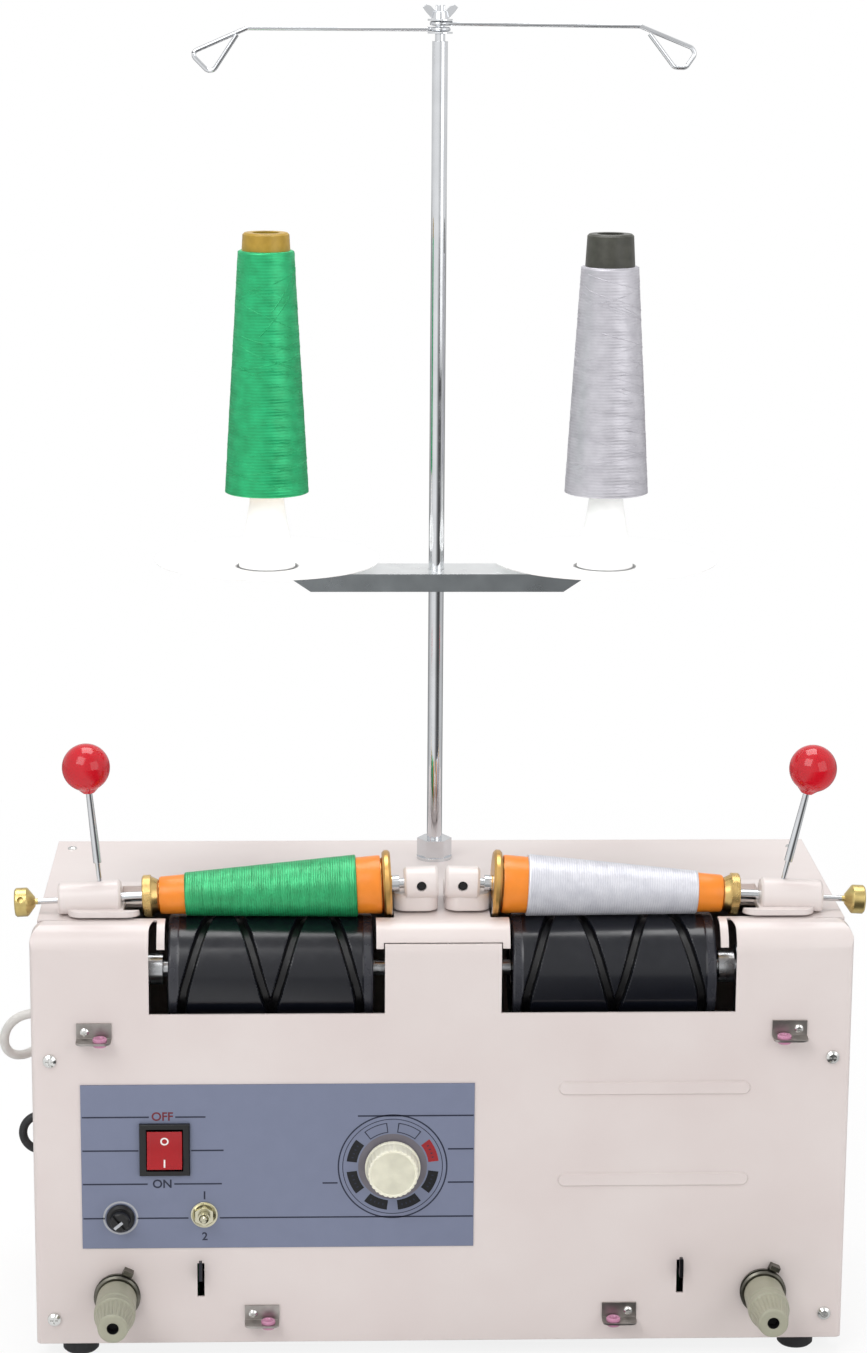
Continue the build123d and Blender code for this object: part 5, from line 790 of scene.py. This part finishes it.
# yarn on the winding cones
coneLook = {"start": 12.3, "end": 98.9, "bigRadius": 15.7, "smallRadius": 10.93, "steps": 72, "rows": 110,
            "strandRadius": 0.11, "strands": 4, "strandTurns": 17.0, "moreTurns": 1.7, "strandSink": 0.06,
            "strandInset": 1.5, "insetStep": 1.3, "startStep": 0.31, "points": 560, "lump": 0.04}


def coneShape(angle, height, radius):
    # turns that pile up a little here and there
    wave = math.sin(height * 0.9 + 3 * angle) * math.sin(height * 0.37 - 2 * angle + 1.3)
    return radius - coneLook["lump"] + coneLook["lump"] * wave


def woundCone(side):
    look = coneLook
    seat = headSeat(side)
    material = yarnGreen if side == "left" else yarnGrey
    length = look["end"] - look["start"]

    def slopeRadius(place):
        share = (place - look["start"]) / length
        return look["bigRadius"] + (look["smallRadius"] - look["bigRadius"]) * share

    firstRadius, lastRadius = slopeRadius(look["start"]), slopeRadius(look["end"])
    outline = [(look["start"], firstRadius - 1.2), (look["start"] + 0.05, firstRadius - 0.5)]
    for row in range(look["rows"] + 1):  # the ends are rounded over half a millimetre
        place = look["start"] + 0.5 + (length - 1.0) * row / look["rows"]
        outline.append((place, slopeRadius(place)))
    outline += [(look["end"] - 0.05, lastRadius - 0.5), (look["end"], lastRadius - 1.2)]
    mesh = turnedMesh("woundYarn_" + side, seat, outline, look["steps"], coneShape, "wind")
    piece = keepPiece("woundYarn_" + side, mesh, material, "cone_" + side)
    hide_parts("cone_thread_" + side)
    strands = []
    for index in range(look["strands"]):
        way = 1 if index % 2 else -1
        inset = look["strandInset"] + look["insetStep"] * index
        low, high = look["start"] + inset, look["end"] - inset
        strands.append(bakeNodes(strandRound, "strand", strandValues(
            low, high, slopeRadius(low) - look["strandSink"], slopeRadius(high) - look["strandSink"],
            way * (look["strandTurns"] + look["moreTurns"] * index), look["startStep"] * index,
            look["strandRadius"], look["points"], material), seat))
    mesh = joinPieces("topTurns_" + side, strands)
    mesh.uv_layers.new(name="wind")
    keepPiece("topTurns_" + side, mesh, material, "cone_" + side)


for side in ("left", "right"):
    woundCone(side)
print("stage: winding cones")


# stock cones on the stand
stockLook = {
    "x": 88.8, "y": 130.0, "low": 427.0, "highGreen": 553.0, "highGrey": 545.5, "lowRadius": 22.0,
    "topRadius": 14.6, "topAt": 553.0, "steps": 72, "rows": 120, "lump": 0.07, "strandRadius": 0.36,
    "straysGreen": (
        (0.66, 0.93, 0.28, 0.72), (0.62, 0.47, 0.45, 0.60), (0.76, 0.99, 0.22, 0.78),
        (0.60, 0.66, -0.3, 0.90), (0.52, 0.58, 0.35, 0.62), (0.08, 0.15, 0.5, 0.55), (0.80, 0.66, 0.4, 0.58)
    ),
    "straysGrey": (
        (0.14, 0.19, 0.4, 0.55), (0.90, 0.80, 0.4, 0.62), (0.72, 0.62, 0.4, 0.70), (0.48, 0.38, 0.35, 0.80),
        (0.30, 0.24, 0.3, 0.82), (0.60, 0.52, 0.3, 0.85), (0.97, 0.90, 0.35, 0.60)
    ), "crossings": 7, "crossingTurns": 2.6, "moreTurns": 0.3, "crossingRadius": 0.13, "crossingInset": 2.0,
    "crossingSink": 0.12, "crossingPoints": 220, "straySink": 0.25, "strayPoints": 60, "startStep": 0.23
}


def stockShape(angle, height, radius):
    wave = math.sin(
        height * 0.21 + 5 * angle
    ) * math.sin(height * 0.13 - 3 * angle) + 0.6 * math.sin(height * 0.9 + 2 * angle)
    return radius - 1.4 * stockLook["lump"] + stockLook["lump"] * wave


def stockCone(side):
    look = stockLook
    sign = -1 if side == "left" else 1
    green = side == "left"
    seat = Matrix.Translation(at(sign * look["x"], look["y"], 0))
    top = look["highGreen"] if green else look["highGrey"]
    material = stockGreen if green else stockGrey
    height = top - look["low"]

    def radiusAt(z):
        share = (z - look["low"]) / (look["topAt"] - look["low"])
        return look["lowRadius"] + (look["topRadius"] - look["lowRadius"]) * share

    outline = [(look["low"] + 0.8, look["lowRadius"] - 2.6), (look["low"] + 0.1, look["lowRadius"] - 1.0)]
    for row in range(look["rows"] + 1):
        z = look["low"] + 0.6 + (height - 1.2) * row / look["rows"]
        outline.append((z, radiusAt(z)))
    outline += [(top - 0.1, radiusAt(top) - 0.9), (top - 0.2, radiusAt(top) - 2.2)]
    mesh = turnedMesh("stockYarn_" + side, seat, outline, look["steps"], stockShape, "wind")
    piece = keepPiece("stockYarn_" + side, mesh, material, "machine")
    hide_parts("supply_thread_green" if green else "supply_thread_grey")
    strands = []

    def addStrand(low, high, sink, turns, start, radius, points):
        strands.append(
            bakeNodes(
                strandRound, "strand",
                strandValues(
                    low, high, radiusAt(low) - sink, radiusAt(high) - sink, turns, start, radius, points,
                    material
                ), seat
            )
        )

    for lowShare, highShare, turns, start in (look["straysGreen"] if green else look["straysGrey"]):
        low, high = look["low"] + height * lowShare, look["low"] + height * highShare
        addStrand(low, high, look["straySink"], turns, start, look["strandRadius"], look["strayPoints"])
    low, high = look["low"] + look["crossingInset"], top - look["crossingInset"]
    for index in range(look["crossings"]):
        turns = (1 if index % 2 else -1) * (look["crossingTurns"] + look["moreTurns"] * index)
        start = look["startStep"] * index
        addStrand(
            low, high, look["crossingSink"], turns, start, look["crossingRadius"], look["crossingPoints"]
        )
    mesh = joinPieces("strayTurns_" + side, strands)
    mesh.uv_layers.new(name="wind")
    keepPiece("strayTurns_" + side, mesh, material, "machine")


for side in ("left", "right"):
    stockCone(side)
print("stage: stock cones")


# print on the control panel
printLook = {
    "lift": 0.03, "line": 0.8,
    "lines": (
        (130.6, ((-181.2, -147.6), (-134.4, -119.2), (-42.6, 15.8))),
        (112.8, ((-181.2, -153.0), (-126.6, -110.2), (2.9, 15.8))),
        (95.0, ((-181.2, -148.6), (-135.2, -111.2), (-60.4, -52.8), (3.0, 15.8))),
        (76.7, ((-181.2, -170.4), (-154.0, -128.2), (-112.4, 15.8)))
    ), "dialX": -25.0, "dialZ": 103.6, "ring": 27.4, "ringLine": 0.75, "innerRing": 25.2, "innerLine": 0.4,
    "shadeIn": 13.0, "shadeOut": 17.4, "blockIn": 18.2, "blockOut": 23.4, "blockSpan": 31.0,
    "outline": 0.45, "face": -0.6
}


def flatMesh(loops, lift):
    # flat printed shapes from closed loops of (x, z) on the panel, as a thin raised skin
    shell = bmesh.new()
    for loop in loops:
        vertices = [shell.verts.new(at(x, printLook["face"] - lift, z)) for x, z in loop]
        shell.faces.new(vertices)
    mesh = bpy.data.meshes.new("print")
    bmesh.ops.recalc_face_normals(shell, faces=shell.faces)
    for face in shell.faces:
        if face.normal.y > 0:
            face.normal_flip()
    shell.to_mesh(mesh)
    shell.free()
    return mesh


def sector(inner, outer, middle, span):
    # one block of the dial, angles in degrees clockwise from the top
    first = math.radians(middle - span / 2)
    last = math.radians(middle + span / 2)
    steps = 10
    points = []
    for radius, order in ((outer, range(steps + 1)), (inner, range(steps, -1, -1))):
        for step in order:
            angle = first + (last - first) * step / steps
            points.append(
                (
                    printLook["dialX"] + radius * math.sin(angle),
                    printLook["dialZ"] + radius * math.cos(angle)
                )
            )
    return points


def band(radius, width):
    return [sector(radius - width / 2, radius + width / 2, middle, 30) for middle in range(15, 360, 30)]


def hollowSector(middle):
    look = printLook
    rim = look["outline"]
    edgeSpan = math.degrees(rim / look["blockIn"])
    parts = [
        sector(look["blockOut"] - rim, look["blockOut"], middle, look["blockSpan"]),
        sector(look["blockIn"], look["blockIn"] + rim, middle, look["blockSpan"])
    ]
    for end in (-1, 1):
        parts.append(
            sector(
                look["blockIn"] + rim, look["blockOut"] - rim,
                middle + end * (look["blockSpan"] - edgeSpan) / 2, edgeSpan
            )
        )
    return parts


def panelPrint():
    look = printLook
    bars = []
    for z, runs in look["lines"]:
        for left, right in runs:
            bars.append(
                [
                    (left, z - look["line"] / 2), (right, z - look["line"] / 2),
                    (right, z + look["line"] / 2), (left, z + look["line"] / 2)
                ]
            )
    navy = bars + band(look["ring"], look["ringLine"]) + band(look["innerRing"], look["innerLine"])
    for middle in (-22.5, 22.5):
        navy += hollowSector(middle)
    keepPiece("panelLines", flatMesh(navy, look["lift"]), inkNavy, "machine", False)
    # painted shadow: a warm grey ring round the knob's foot, standing in for the shadow the knob casts on the
    # panel
    shade = [sector(look["shadeIn"], look["shadeOut"], middle, 30) for middle in range(15, 360, 30)]
    keepPiece("dialPaintedShadow", flatMesh(shade, look["lift"]), knobShadowGrey, "machine", False)
    black = [
        sector(
            look["blockIn"], look["blockOut"], middle, look["blockSpan"]
        ) for middle in (112.5, 157.5, 202.5, 247.5, 292.5)
    ]
    keepPiece("dialBlocks", flatMesh(black, look["lift"]), inkBlack, "machine", False)
    keepPiece(
        "dialRedBlock",
        flatMesh([sector(look["blockIn"], look["blockOut"], 67.5, look["blockSpan"])], look["lift"]),
        inkRed, "machine", False
    )
    ticks = []
    for middle in (67.5, 112.5, 157.5, 202.5, 247.5, 292.5):
        for offset in (-9, -3, 3, 9):
            radius = (look["blockIn"] + look["blockOut"]) / 2
            ticks.append(sector(radius - 0.55, radius + 0.55, middle + offset, 1.6))
    keepPiece("dialTicks", flatMesh(ticks, 2 * look["lift"]), inkNavy, "machine", False)


panelPrint()

textLook = {"words": (("OFF", -140.9, 130.7, 4.6, "maroon"), ("ON", -141.2, 94.9, 4.6, "navy"),
                      ("1", -120.0, 88.6, 4.4, "navy"), ("2", -120.0, 66.6, 4.4, "navy")),
            "rockerX": -139.8, "rockerMarks": (("O", 118.4), ("I", 107.4)), "rockerHeight": 4.0,
            "sizeForHeight": 1.35, "thickness": 0.02, "boldness": 0.12, "lift": 0.04}


def wordPiece(index, word, x, z, height, ink, body, face, tilt):
    curve = bpy.data.curves.new("word", "FONT")
    curve.body = word
    curve.size = height * mm * textLook["sizeForHeight"]
    curve.align_x = "CENTER"
    curve.align_y = "CENTER"
    curve.extrude = textLook["thickness"] * mm
    curve.offset = textLook["boldness"] * mm
    holder = bpy.data.objects.new("word", curve)
    scene.collection.objects.link(holder)
    bpy.context.view_layer.update()
    mesh = bpy.data.meshes.new_from_object(holder.evaluated_get(bpy.context.evaluated_depsgraph_get()))
    bpy.data.objects.remove(holder)
    upright = Matrix.Rotation(math.radians(90 + tilt), 4, "X")
    mesh.transform(Matrix.Translation(at(x, face - textLook["lift"], z)) @ upright)
    inks = {"maroon": inkMaroon, "navy": inkNavy, "white": inkWhite}
    keepPiece("word_%d" % index, mesh, inks[ink], body, False)


def frontFace(node, x, z):
    # where a line from the front first meets a node, and how far its face leans back, in degrees
    mesh = frame["nodes"][node].data
    tree = BVHTree.FromPolygons([v.co for v in mesh.vertices], [tuple(p.vertices) for p in mesh.polygons])
    spot, normal, _, _ = tree.ray_cast(at(x, -80.0, z), Vector((0, 1, 0)))
    return (spot.y - faceY) / mm, math.degrees(math.atan2(normal.z, -normal.y))


markLook = {
    "fuse": (-162.4, 77.0), "slot": (5.4, 1.5), "slotShift": (-0.8, -1.4), "slotLean": 40.0,
    "flange": (7.9, 8.9), "flangeSteps": 48, "hole": (10.4, 244.0, 2.35), "holeY": 23.2, "holeSteps": 32
}


def smallMarks():
    # the pale slot and the grey flange of the fuse cap, and near-black discs set inside the screw holes of
    # the two centre bosses as painted shade
    look = markLook
    x, z = look["fuse"]
    half, width = look["slot"][0] / 2, look["slot"][1] / 2
    lean = math.radians(look["slotLean"])
    corners = [(-half, -width), (half, -width), (half, width), (-half, width)]
    barX, barZ = x + look["slotShift"][0], z + look["slotShift"][1]
    cosine, sine = math.cos(lean), math.sin(lean)
    bar = [(barX + u * cosine - v * sine, barZ + u * sine + v * cosine) for u, v in corners]
    depth, _ = frontFace("fuse_holder", x, z - 3.4)
    keepPiece(
        "fuseSlotMark", flatMesh([bar], -depth + printLook["face"] + 0.05), inkPale, "machine",
        False
    )
    steps = look["flangeSteps"]
    inner, outer = look["flange"]
    rings = []
    for step in range(steps):
        first, last = math.tau * step / steps, math.tau * (step + 1) / steps
        corners = ((inner, first), (outer, first), (outer, last), (inner, last))
        rings.append(
            [(x + radius * math.cos(angle), z + radius * math.sin(angle)) for radius, angle in corners]
        )
    keepPiece("fuseFlange", flatMesh(rings, printLook["lift"]), inkPale, "machine", False)
    holeX, holeZ, radius = look["hole"]
    # painted shade: a near-black disc set inside each boss hole
    for side, sign in (("left", -1), ("right", 1)):
        angles = [math.tau * step / look["holeSteps"] for step in range(look["holeSteps"])]
        disc = [
            (sign * holeX + radius * math.cos(angle), holeZ + radius * math.sin(angle)) for angle in angles
        ]
        keepPiece(
            "bossHoleShade_" + side, flatMesh([disc], -look["holeY"] + printLook["face"]), holeShade,
            "head_" + side, False
        )


for index, (word, x, z, height, ink) in enumerate(textLook["words"]):
    wordPiece(index, word, x, z, height, ink, "machine", printLook["face"], 0)
smallMarks()
for index, (word, z) in enumerate(textLook["rockerMarks"]):
    depth, lean = frontFace("rocker", textLook["rockerX"], z)
    wordPiece(
        index + 10, word, textLook["rockerX"], z, textLook["rockerHeight"], "white", "rocker", depth, -lean
    )
print("stage: panel print")


# speed knob
knobLook = {
    "x": -25.0, "z": 103.6, "face": -0.6,
    "outline": (
        (0.8, 10.0), (0.8, 13.6), (1.3, 14.0), (2.6, 14.0), (3.2, 13.4), (10.0, 12.9), (10.8, 12.6),
        (11.1, 11.9)
    ), "insert": ((10.95, 11.2), (10.7, 11.0), (10.7, 6.0), (10.75, 0.6)), "insertFrom": 10.6,
    "insertRadius": 11.05, "flutes": 30, "fluteDepth": 0.45, "flutesAbove": 3.4, "flutesOutside": 11.6,
    "steps": 180, "sharpAngle": 35.0
}


def fluteShape(angle, height, radius):
    if height < knobLook["flutesAbove"] or radius < knobLook["flutesOutside"]:
        return radius
    return radius - knobLook["fluteDepth"] * (0.5 - 0.5 * math.cos(angle * knobLook["flutes"])) ** 2


def dialKnob():
    look = knobLook
    seat = seatAlong(at(look["x"], look["face"], look["z"]), (0, -1, 0), Vector((1, 0, 0)))
    mesh = turnedMesh("speedDialKnob", seat, look["outline"] + look["insert"], look["steps"], fluteShape)
    knob = keepPiece("speedDialKnob", mesh, knobIvory, "speed_knob")
    mesh.materials.append(spunInsert)
    for face in mesh.polygons:
        offset = seat.inverted() @ face.center
        if offset.z > look["insertFrom"] * mm and math.hypot(offset.x, offset.y) < look["insertRadius"] * mm:
            face.material_index = 1
    mesh.set_sharp_from_angle(angle=math.radians(look["sharpAngle"]))
    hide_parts("speed_knob")


dialKnob()

# tension knobs
capLow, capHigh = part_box("tension_knob_left")
tensionLook = {"x": 164.6, "z": 35.4, "ribs": 24, "ribDepth": 0.45, "steps": 144, "radius": 10.5, "tip": 7.7,
               "bottom": (faceY - capHigh.y) / mm, "length": (capHigh.y - capLow.y) / mm, "bore": 2.8,
               "boreDepth": 6.0, "shoulder": 0.9, "slopeRows": 10, "sharpAngle": 35.0}


def ribShape(angle, height, radius):
    look = tensionLook
    along = (height - look["bottom"]) / look["length"]
    if radius < look["tip"] - 1.2 or along < 0.28 or along > 0.93:
        return radius
    return radius - look["ribDepth"] * (0.5 + 0.5 * math.cos(angle * look["ribs"])) ** 3


def tensionCap(side):
    look = tensionLook
    sign = -1 if side == "left" else 1
    seat = seatAlong(at(sign * look["x"], 0, look["z"]), (0, -1, 0), Vector((1, 0, 0)))
    start = look["bottom"]
    end = start + look["length"]
    radius, tip, bore, shoulder = look["radius"], look["tip"], look["bore"], look["shoulder"]
    profile = [(start, 6.0), (start, radius - shoulder), (start + 1.2, radius), (start + 4.6, radius - 0.3),
               (start + 5.2, radius - shoulder)]
    for row in range(look["slopeRows"] + 1):
        share = row / look["slopeRows"]
        profile.append(
            (
                start + 5.8 + (look["length"] - 7.4) * share,
                radius - shoulder + (tip - radius + shoulder) * share
            )
        )
    profile += [(end - 0.7, tip - 0.15), (end - 0.1, tip - 0.8), (end, tip - 1.3), (end, bore + 1.0),
                (end - 0.4, bore + 0.2), (end - 1.0, bore), (end - look["boreDepth"], bore)]
    mesh = turnedMesh("tensionCap_" + side, seat, profile, look["steps"], ribShape)
    cap = keepPiece("tensionCap_" + side, mesh, tensionPlastic, "tension_knob_" + side)
    # painted shade: the bore's faces take the near-black inside the hole
    mesh.materials.append(holeShade)
    for face in mesh.polygons:
        offset = seat.inverted() @ face.center
        if math.hypot(offset.x, offset.y) < (bore + 0.15) * mm:
            face.material_index = 1
    mesh.set_sharp_from_angle(angle=math.radians(look["sharpAngle"]))
    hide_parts("tension_knob_" + side)


for side in ("left", "right"):
    tensionCap(side)
print("stage: knobs")

# knurls on the small brass chucks
knurlLook = {"count": 64, "radius": 10.42, "at": 117.6, "length": 3.4, "size": 0.42, "turns": (-0.025, 0.025)}


def chuckKnurl(side):
    look = knurlLook
    pieces = []
    block = (look["size"] * mm, look["size"] * mm, look["length"] * mm)
    for turn in look["turns"]:
        values = {"Count": look["count"], "Radius": look["radius"] * mm, "Block Size": block,
                  "Height": look["at"] * mm, "Material": turnedBrass}
        pieces.append(bakeNodes(blocksRound, "knurl", values, headSeat(side) @ Matrix.Rotation(turn, 4, "Z")))
    mesh = joinPieces("chuckKnurl_" + side, pieces)
    keepPiece("chuckKnurl_" + side, mesh, turnedBrass, "small_chuck_" + side, False)


for side in ("left", "right"):
    chuckKnurl(side)

# mains cord
cordLook = {
    "diameter": 5.0, "centre": (-120.0, 229.0), "loopRadius": 35.5, "turns": 3, "perTurn": 16, "pitch": 5.7,
    "climb": 5.6, "dip": 0.9, "start": (-212.0, 120.0, 146.0), "length": 1.3285,
    "route": (
        (-217.0, 120.0, 146.0), (-224.2, 120.4, 143.2), (-229.4, 121.4, 137.4), (-231.4, 123.0, 129.6),
        (-229.6, 126.0, 122.4), (-224.4, 131.0, 118.2), (-217.6, 139.0, 117.6), (-212.2, 152.0, 118.6),
        (-206.6, 166.5, 117.2), (-198.8, 178.6, 109.6), (-193.0, 185.4, 94.6), (-189.4, 188.4, 76.0),
        (-185.0, 189.4, 56.0), (-178.5, 190.2, 37.0), (-167.5, 191.0, 18.5), (-153.0, 192.2, 7.5),
        (-139.0, 193.5, 2.5), (-125.0, 193.5, 2.5)
    )
}


def coilPoints():
    # the put-away length: in through the lower layer and out through the upper one
    look = cordLook
    perTurn = look["perTurn"]
    inner = look["loopRadius"] - look["pitch"] * look["turns"]
    points = []
    total = look["turns"] * perTurn
    stretch = 1 / math.cos(math.pi / perTurn) ** 1.5  # the curve cuts inside its points

    def spot(turn, radius, height):
        angle = math.tau * turn - math.pi / 2
        x = look["centre"][0] + stretch * radius * math.cos(angle)
        y = look["centre"][1] + stretch * radius * math.sin(angle)
        points.append((x, y, height))

    for step in range(total + 1):
        spot(step / perTurn, look["loopRadius"] - look["pitch"] * step / perTurn, look["diameter"] / 2)
    half = perTurn // 2
    for step in range(1, half):
        share = step / half
        lift = 0.5 - 0.5 * math.cos(math.pi * share)
        spot(
            look["turns"] + step / perTurn, inner - look["dip"] * math.sin(math.pi * share),
            look["diameter"] / 2 + look["climb"] * lift
        )
    for step in range(total + 1):
        spot(
            look["turns"] + 0.5 + step / perTurn, inner + look["pitch"] * step / perTurn,
            look["diameter"] / 2 + look["climb"]
        )
    return points


def mainsCord():
    look = cordLook
    start = look["start"]
    coil = coilPoints()
    last = (coil[-1][0] - look["diameter"], coil[-1][1], coil[-1][2])
    route = [start] + list(look["route"]) + coil + [last]
    curve = bpy.data.curves.new("mainsCord", "CURVE")
    curve.dimensions = "3D"
    curve.bevel_depth = look["diameter"] / 2 * mm
    curve.bevel_resolution = 5
    curve.resolution_u = 6
    curve.use_fill_caps = True
    spline = curve.splines.new("NURBS")
    spline.points.add(len(route) - 1)
    for point, place in zip(spline.points, route):
        point.co = (*at(*place), 1.0)
    spline.order_u = 3
    spline.use_endpoint_u = True
    cord = bpy.data.objects.new("mainsCord", curve)
    scene.collection.objects.link(cord)
    curve.materials.append(cordVinyl)
    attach(cord, "machine")
    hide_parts("power_cord", "power_coil")


mainsCord()
print("stage: cord")


# finishes of the carried-over parts
finishLook = {"sharpAngle": 32.0}


def dressNodes():
    for name, piece in frame["nodes"].items():
        material = nodeFinish[name]
        piece.data.materials.clear()
        piece.data.materials.append(material)
        if not piece.hide_render:
            giveModifier(piece, softenFaces, {"Sharp Angle": math.radians(finishLook["sharpAngle"])})


dressNodes()
print("stage: finishes")


# floor, backdrop and light
lightLook = {
    "world": 0.47,
    "lamps": (
        ("keyLight", 22.0, 1.5, (-1000.0, -1400.0, 1900.0)),
        ("fillLight", 8.0, 1.4, (1300.0, -1300.0, 900.0)), ("topLight", 20.0, 1.2, (0.0, 500.0, 2000.0))
    ), "aim": (0.0, 60.0, 260.0), "floorSize": 6.0, "floorDrop": 0.0002, "whiteFrom": 0.35, "whiteTo": 1.1,
    "paper": 0.85, "ceiling": 0.62,
    "bands": (
        (0.0, 0.45), (0.1, 0.25), (0.2, 0.6), (0.33, 0.95), (0.45, 1.0), (0.52, 0.3), (0.57, 0.08),
        (0.64, 0.1), (0.7, 0.7), (0.82, 0.6), (0.9, 0.2), (1.0, 0.45)
    )
}


def studioBands(tree):
    # light and dark cards round the studio, which only mirror-like surfaces see
    place = addNode(tree, "ShaderNodeSeparateXYZ", {"Vector": objectPlace(tree)})
    ahead = addNode(tree, "ShaderNodeMath", {0: place.outputs["Y"], 1: -1.0}, operation="MULTIPLY")
    turn = addNode(tree, "ShaderNodeMath", {0: place.outputs["X"], 1: ahead.outputs[0]}, operation="ARCTAN2")
    share = addNode(tree, "ShaderNodeMapRange", {
        "Value": turn.outputs[0], "From Min": -math.pi, "From Max": math.pi})
    ramp = addNode(tree, "ShaderNodeValToRGB", {"Fac": share.outputs["Result"]})
    stops = ramp.color_ramp.elements
    first, *middle, last = lightLook["bands"]
    for stop, (spot, level) in zip((stops[0], stops[1]), (first, last)):
        stop.position = spot
        stop.color = (level, level, level, 1.0)
    for spot, level in middle:
        stops.new(spot).color = (level, level, level, 1.0)
    return ramp.outputs["Color"]


def whiteSurround():
    # pure white to the camera away from the machine, with the machine's own faint shadow kept near it
    look = lightLook
    material = bpy.data.materials.new("white paper floor")
    material.use_nodes = True
    tree = material.node_tree
    tree.nodes.clear()
    paper = addNode(tree, "ShaderNodeBsdfDiffuse", {"Color": (0.92, 0.92, 0.92, 1.0)})
    glow = addNode(tree, "ShaderNodeEmission", {"Color": (1, 1, 1, 1), "Strength": 1.0})
    mirrored = addNode(tree, "ShaderNodeEmission", {"Color": studioBands(tree), "Strength": 1.0})
    path = addNode(tree, "ShaderNodeLightPath")
    seen = addNode(
        tree, "ShaderNodeMath", {0: path.outputs["Is Camera Ray"], 1: path.outputs["Is Transmission Ray"]},
        operation="MAXIMUM"
    )
    away = addNode(tree, "ShaderNodeVectorMath", {0: objectPlace(tree)}, operation="LENGTH")
    clear = addNode(tree, "ShaderNodeMapRange", {
        "Value": away.outputs["Value"], "From Min": look["whiteFrom"], "From Max": look["whiteTo"],
        "To Min": look["paper"], "To Max": 1.0})
    share = addNode(
        tree, "ShaderNodeMath", {0: seen.outputs[0], 1: clear.outputs["Result"]}, operation="MULTIPLY"
    )
    lit = addNode(tree, "ShaderNodeMixShader", {0: share.outputs[0], 1: paper.outputs[0], 2: glow.outputs[0]})
    blend = addNode(tree, "ShaderNodeMixShader", {
        0: path.outputs["Is Glossy Ray"], 1: lit.outputs[0], 2: mirrored.outputs[0]})
    addNode(tree, "ShaderNodeOutputMaterial", {"Surface": blend.outputs[0]})
    shell = bmesh.new()
    bmesh.ops.create_grid(shell, x_segments=1, y_segments=1, size=look["floorSize"])
    mesh = bpy.data.meshes.new("floor")
    shell.to_mesh(mesh)
    shell.free()
    mesh.materials.append(material)
    floor = bpy.data.objects.new("floor", mesh)
    floor.location = (0, 0, -look["floorDrop"])
    scene.collection.objects.link(floor)
    world = bpy.data.worlds.new("studio")
    scene.world = world
    world.use_nodes = True
    tree = world.node_tree
    tree.nodes.clear()
    path = addNode(tree, "ShaderNodeLightPath")
    seen = addNode(
        tree, "ShaderNodeMath", {0: path.outputs["Is Camera Ray"], 1: path.outputs["Is Transmission Ray"]},
        operation="MAXIMUM"
    )
    strength = addNode(tree, "ShaderNodeMapRange", {
        "Value": seen.outputs[0], "To Min": look["world"], "To Max": 1.0})
    even = addNode(tree, "ShaderNodeBackground", {"Color": (1, 1, 1, 1), "Strength": strength.outputs[0]})
    upper = colourBlend(tree, look["ceiling"], studioBands(tree), (1.0, 1.0, 1.0, 1.0))
    banded = addNode(tree, "ShaderNodeBackground", {"Color": upper, "Strength": 1.0})
    light = addNode(tree, "ShaderNodeMixShader", {
        0: path.outputs["Is Glossy Ray"], 1: even.outputs[0], 2: banded.outputs[0]})
    addNode(tree, "ShaderNodeOutputWorld", {"Surface": light.outputs[0]})


def softLight(name, power, size, place):
    lamp = bpy.data.lights.new(name, "AREA")
    lamp.energy = power
    lamp.size = size
    holder = bpy.data.objects.new(name, lamp)
    spot = at(*place)
    holder.location = spot
    holder.rotation_euler = (spot - at(*lightLook["aim"])).to_track_quat("Z", "Y").to_euler()
    scene.collection.objects.link(holder)


whiteSurround()
for name, power, size, place in lightLook["lamps"]:
    softLight(name, power, size, place)
scene.view_settings.view_transform = "Standard"
print("stage: studio")
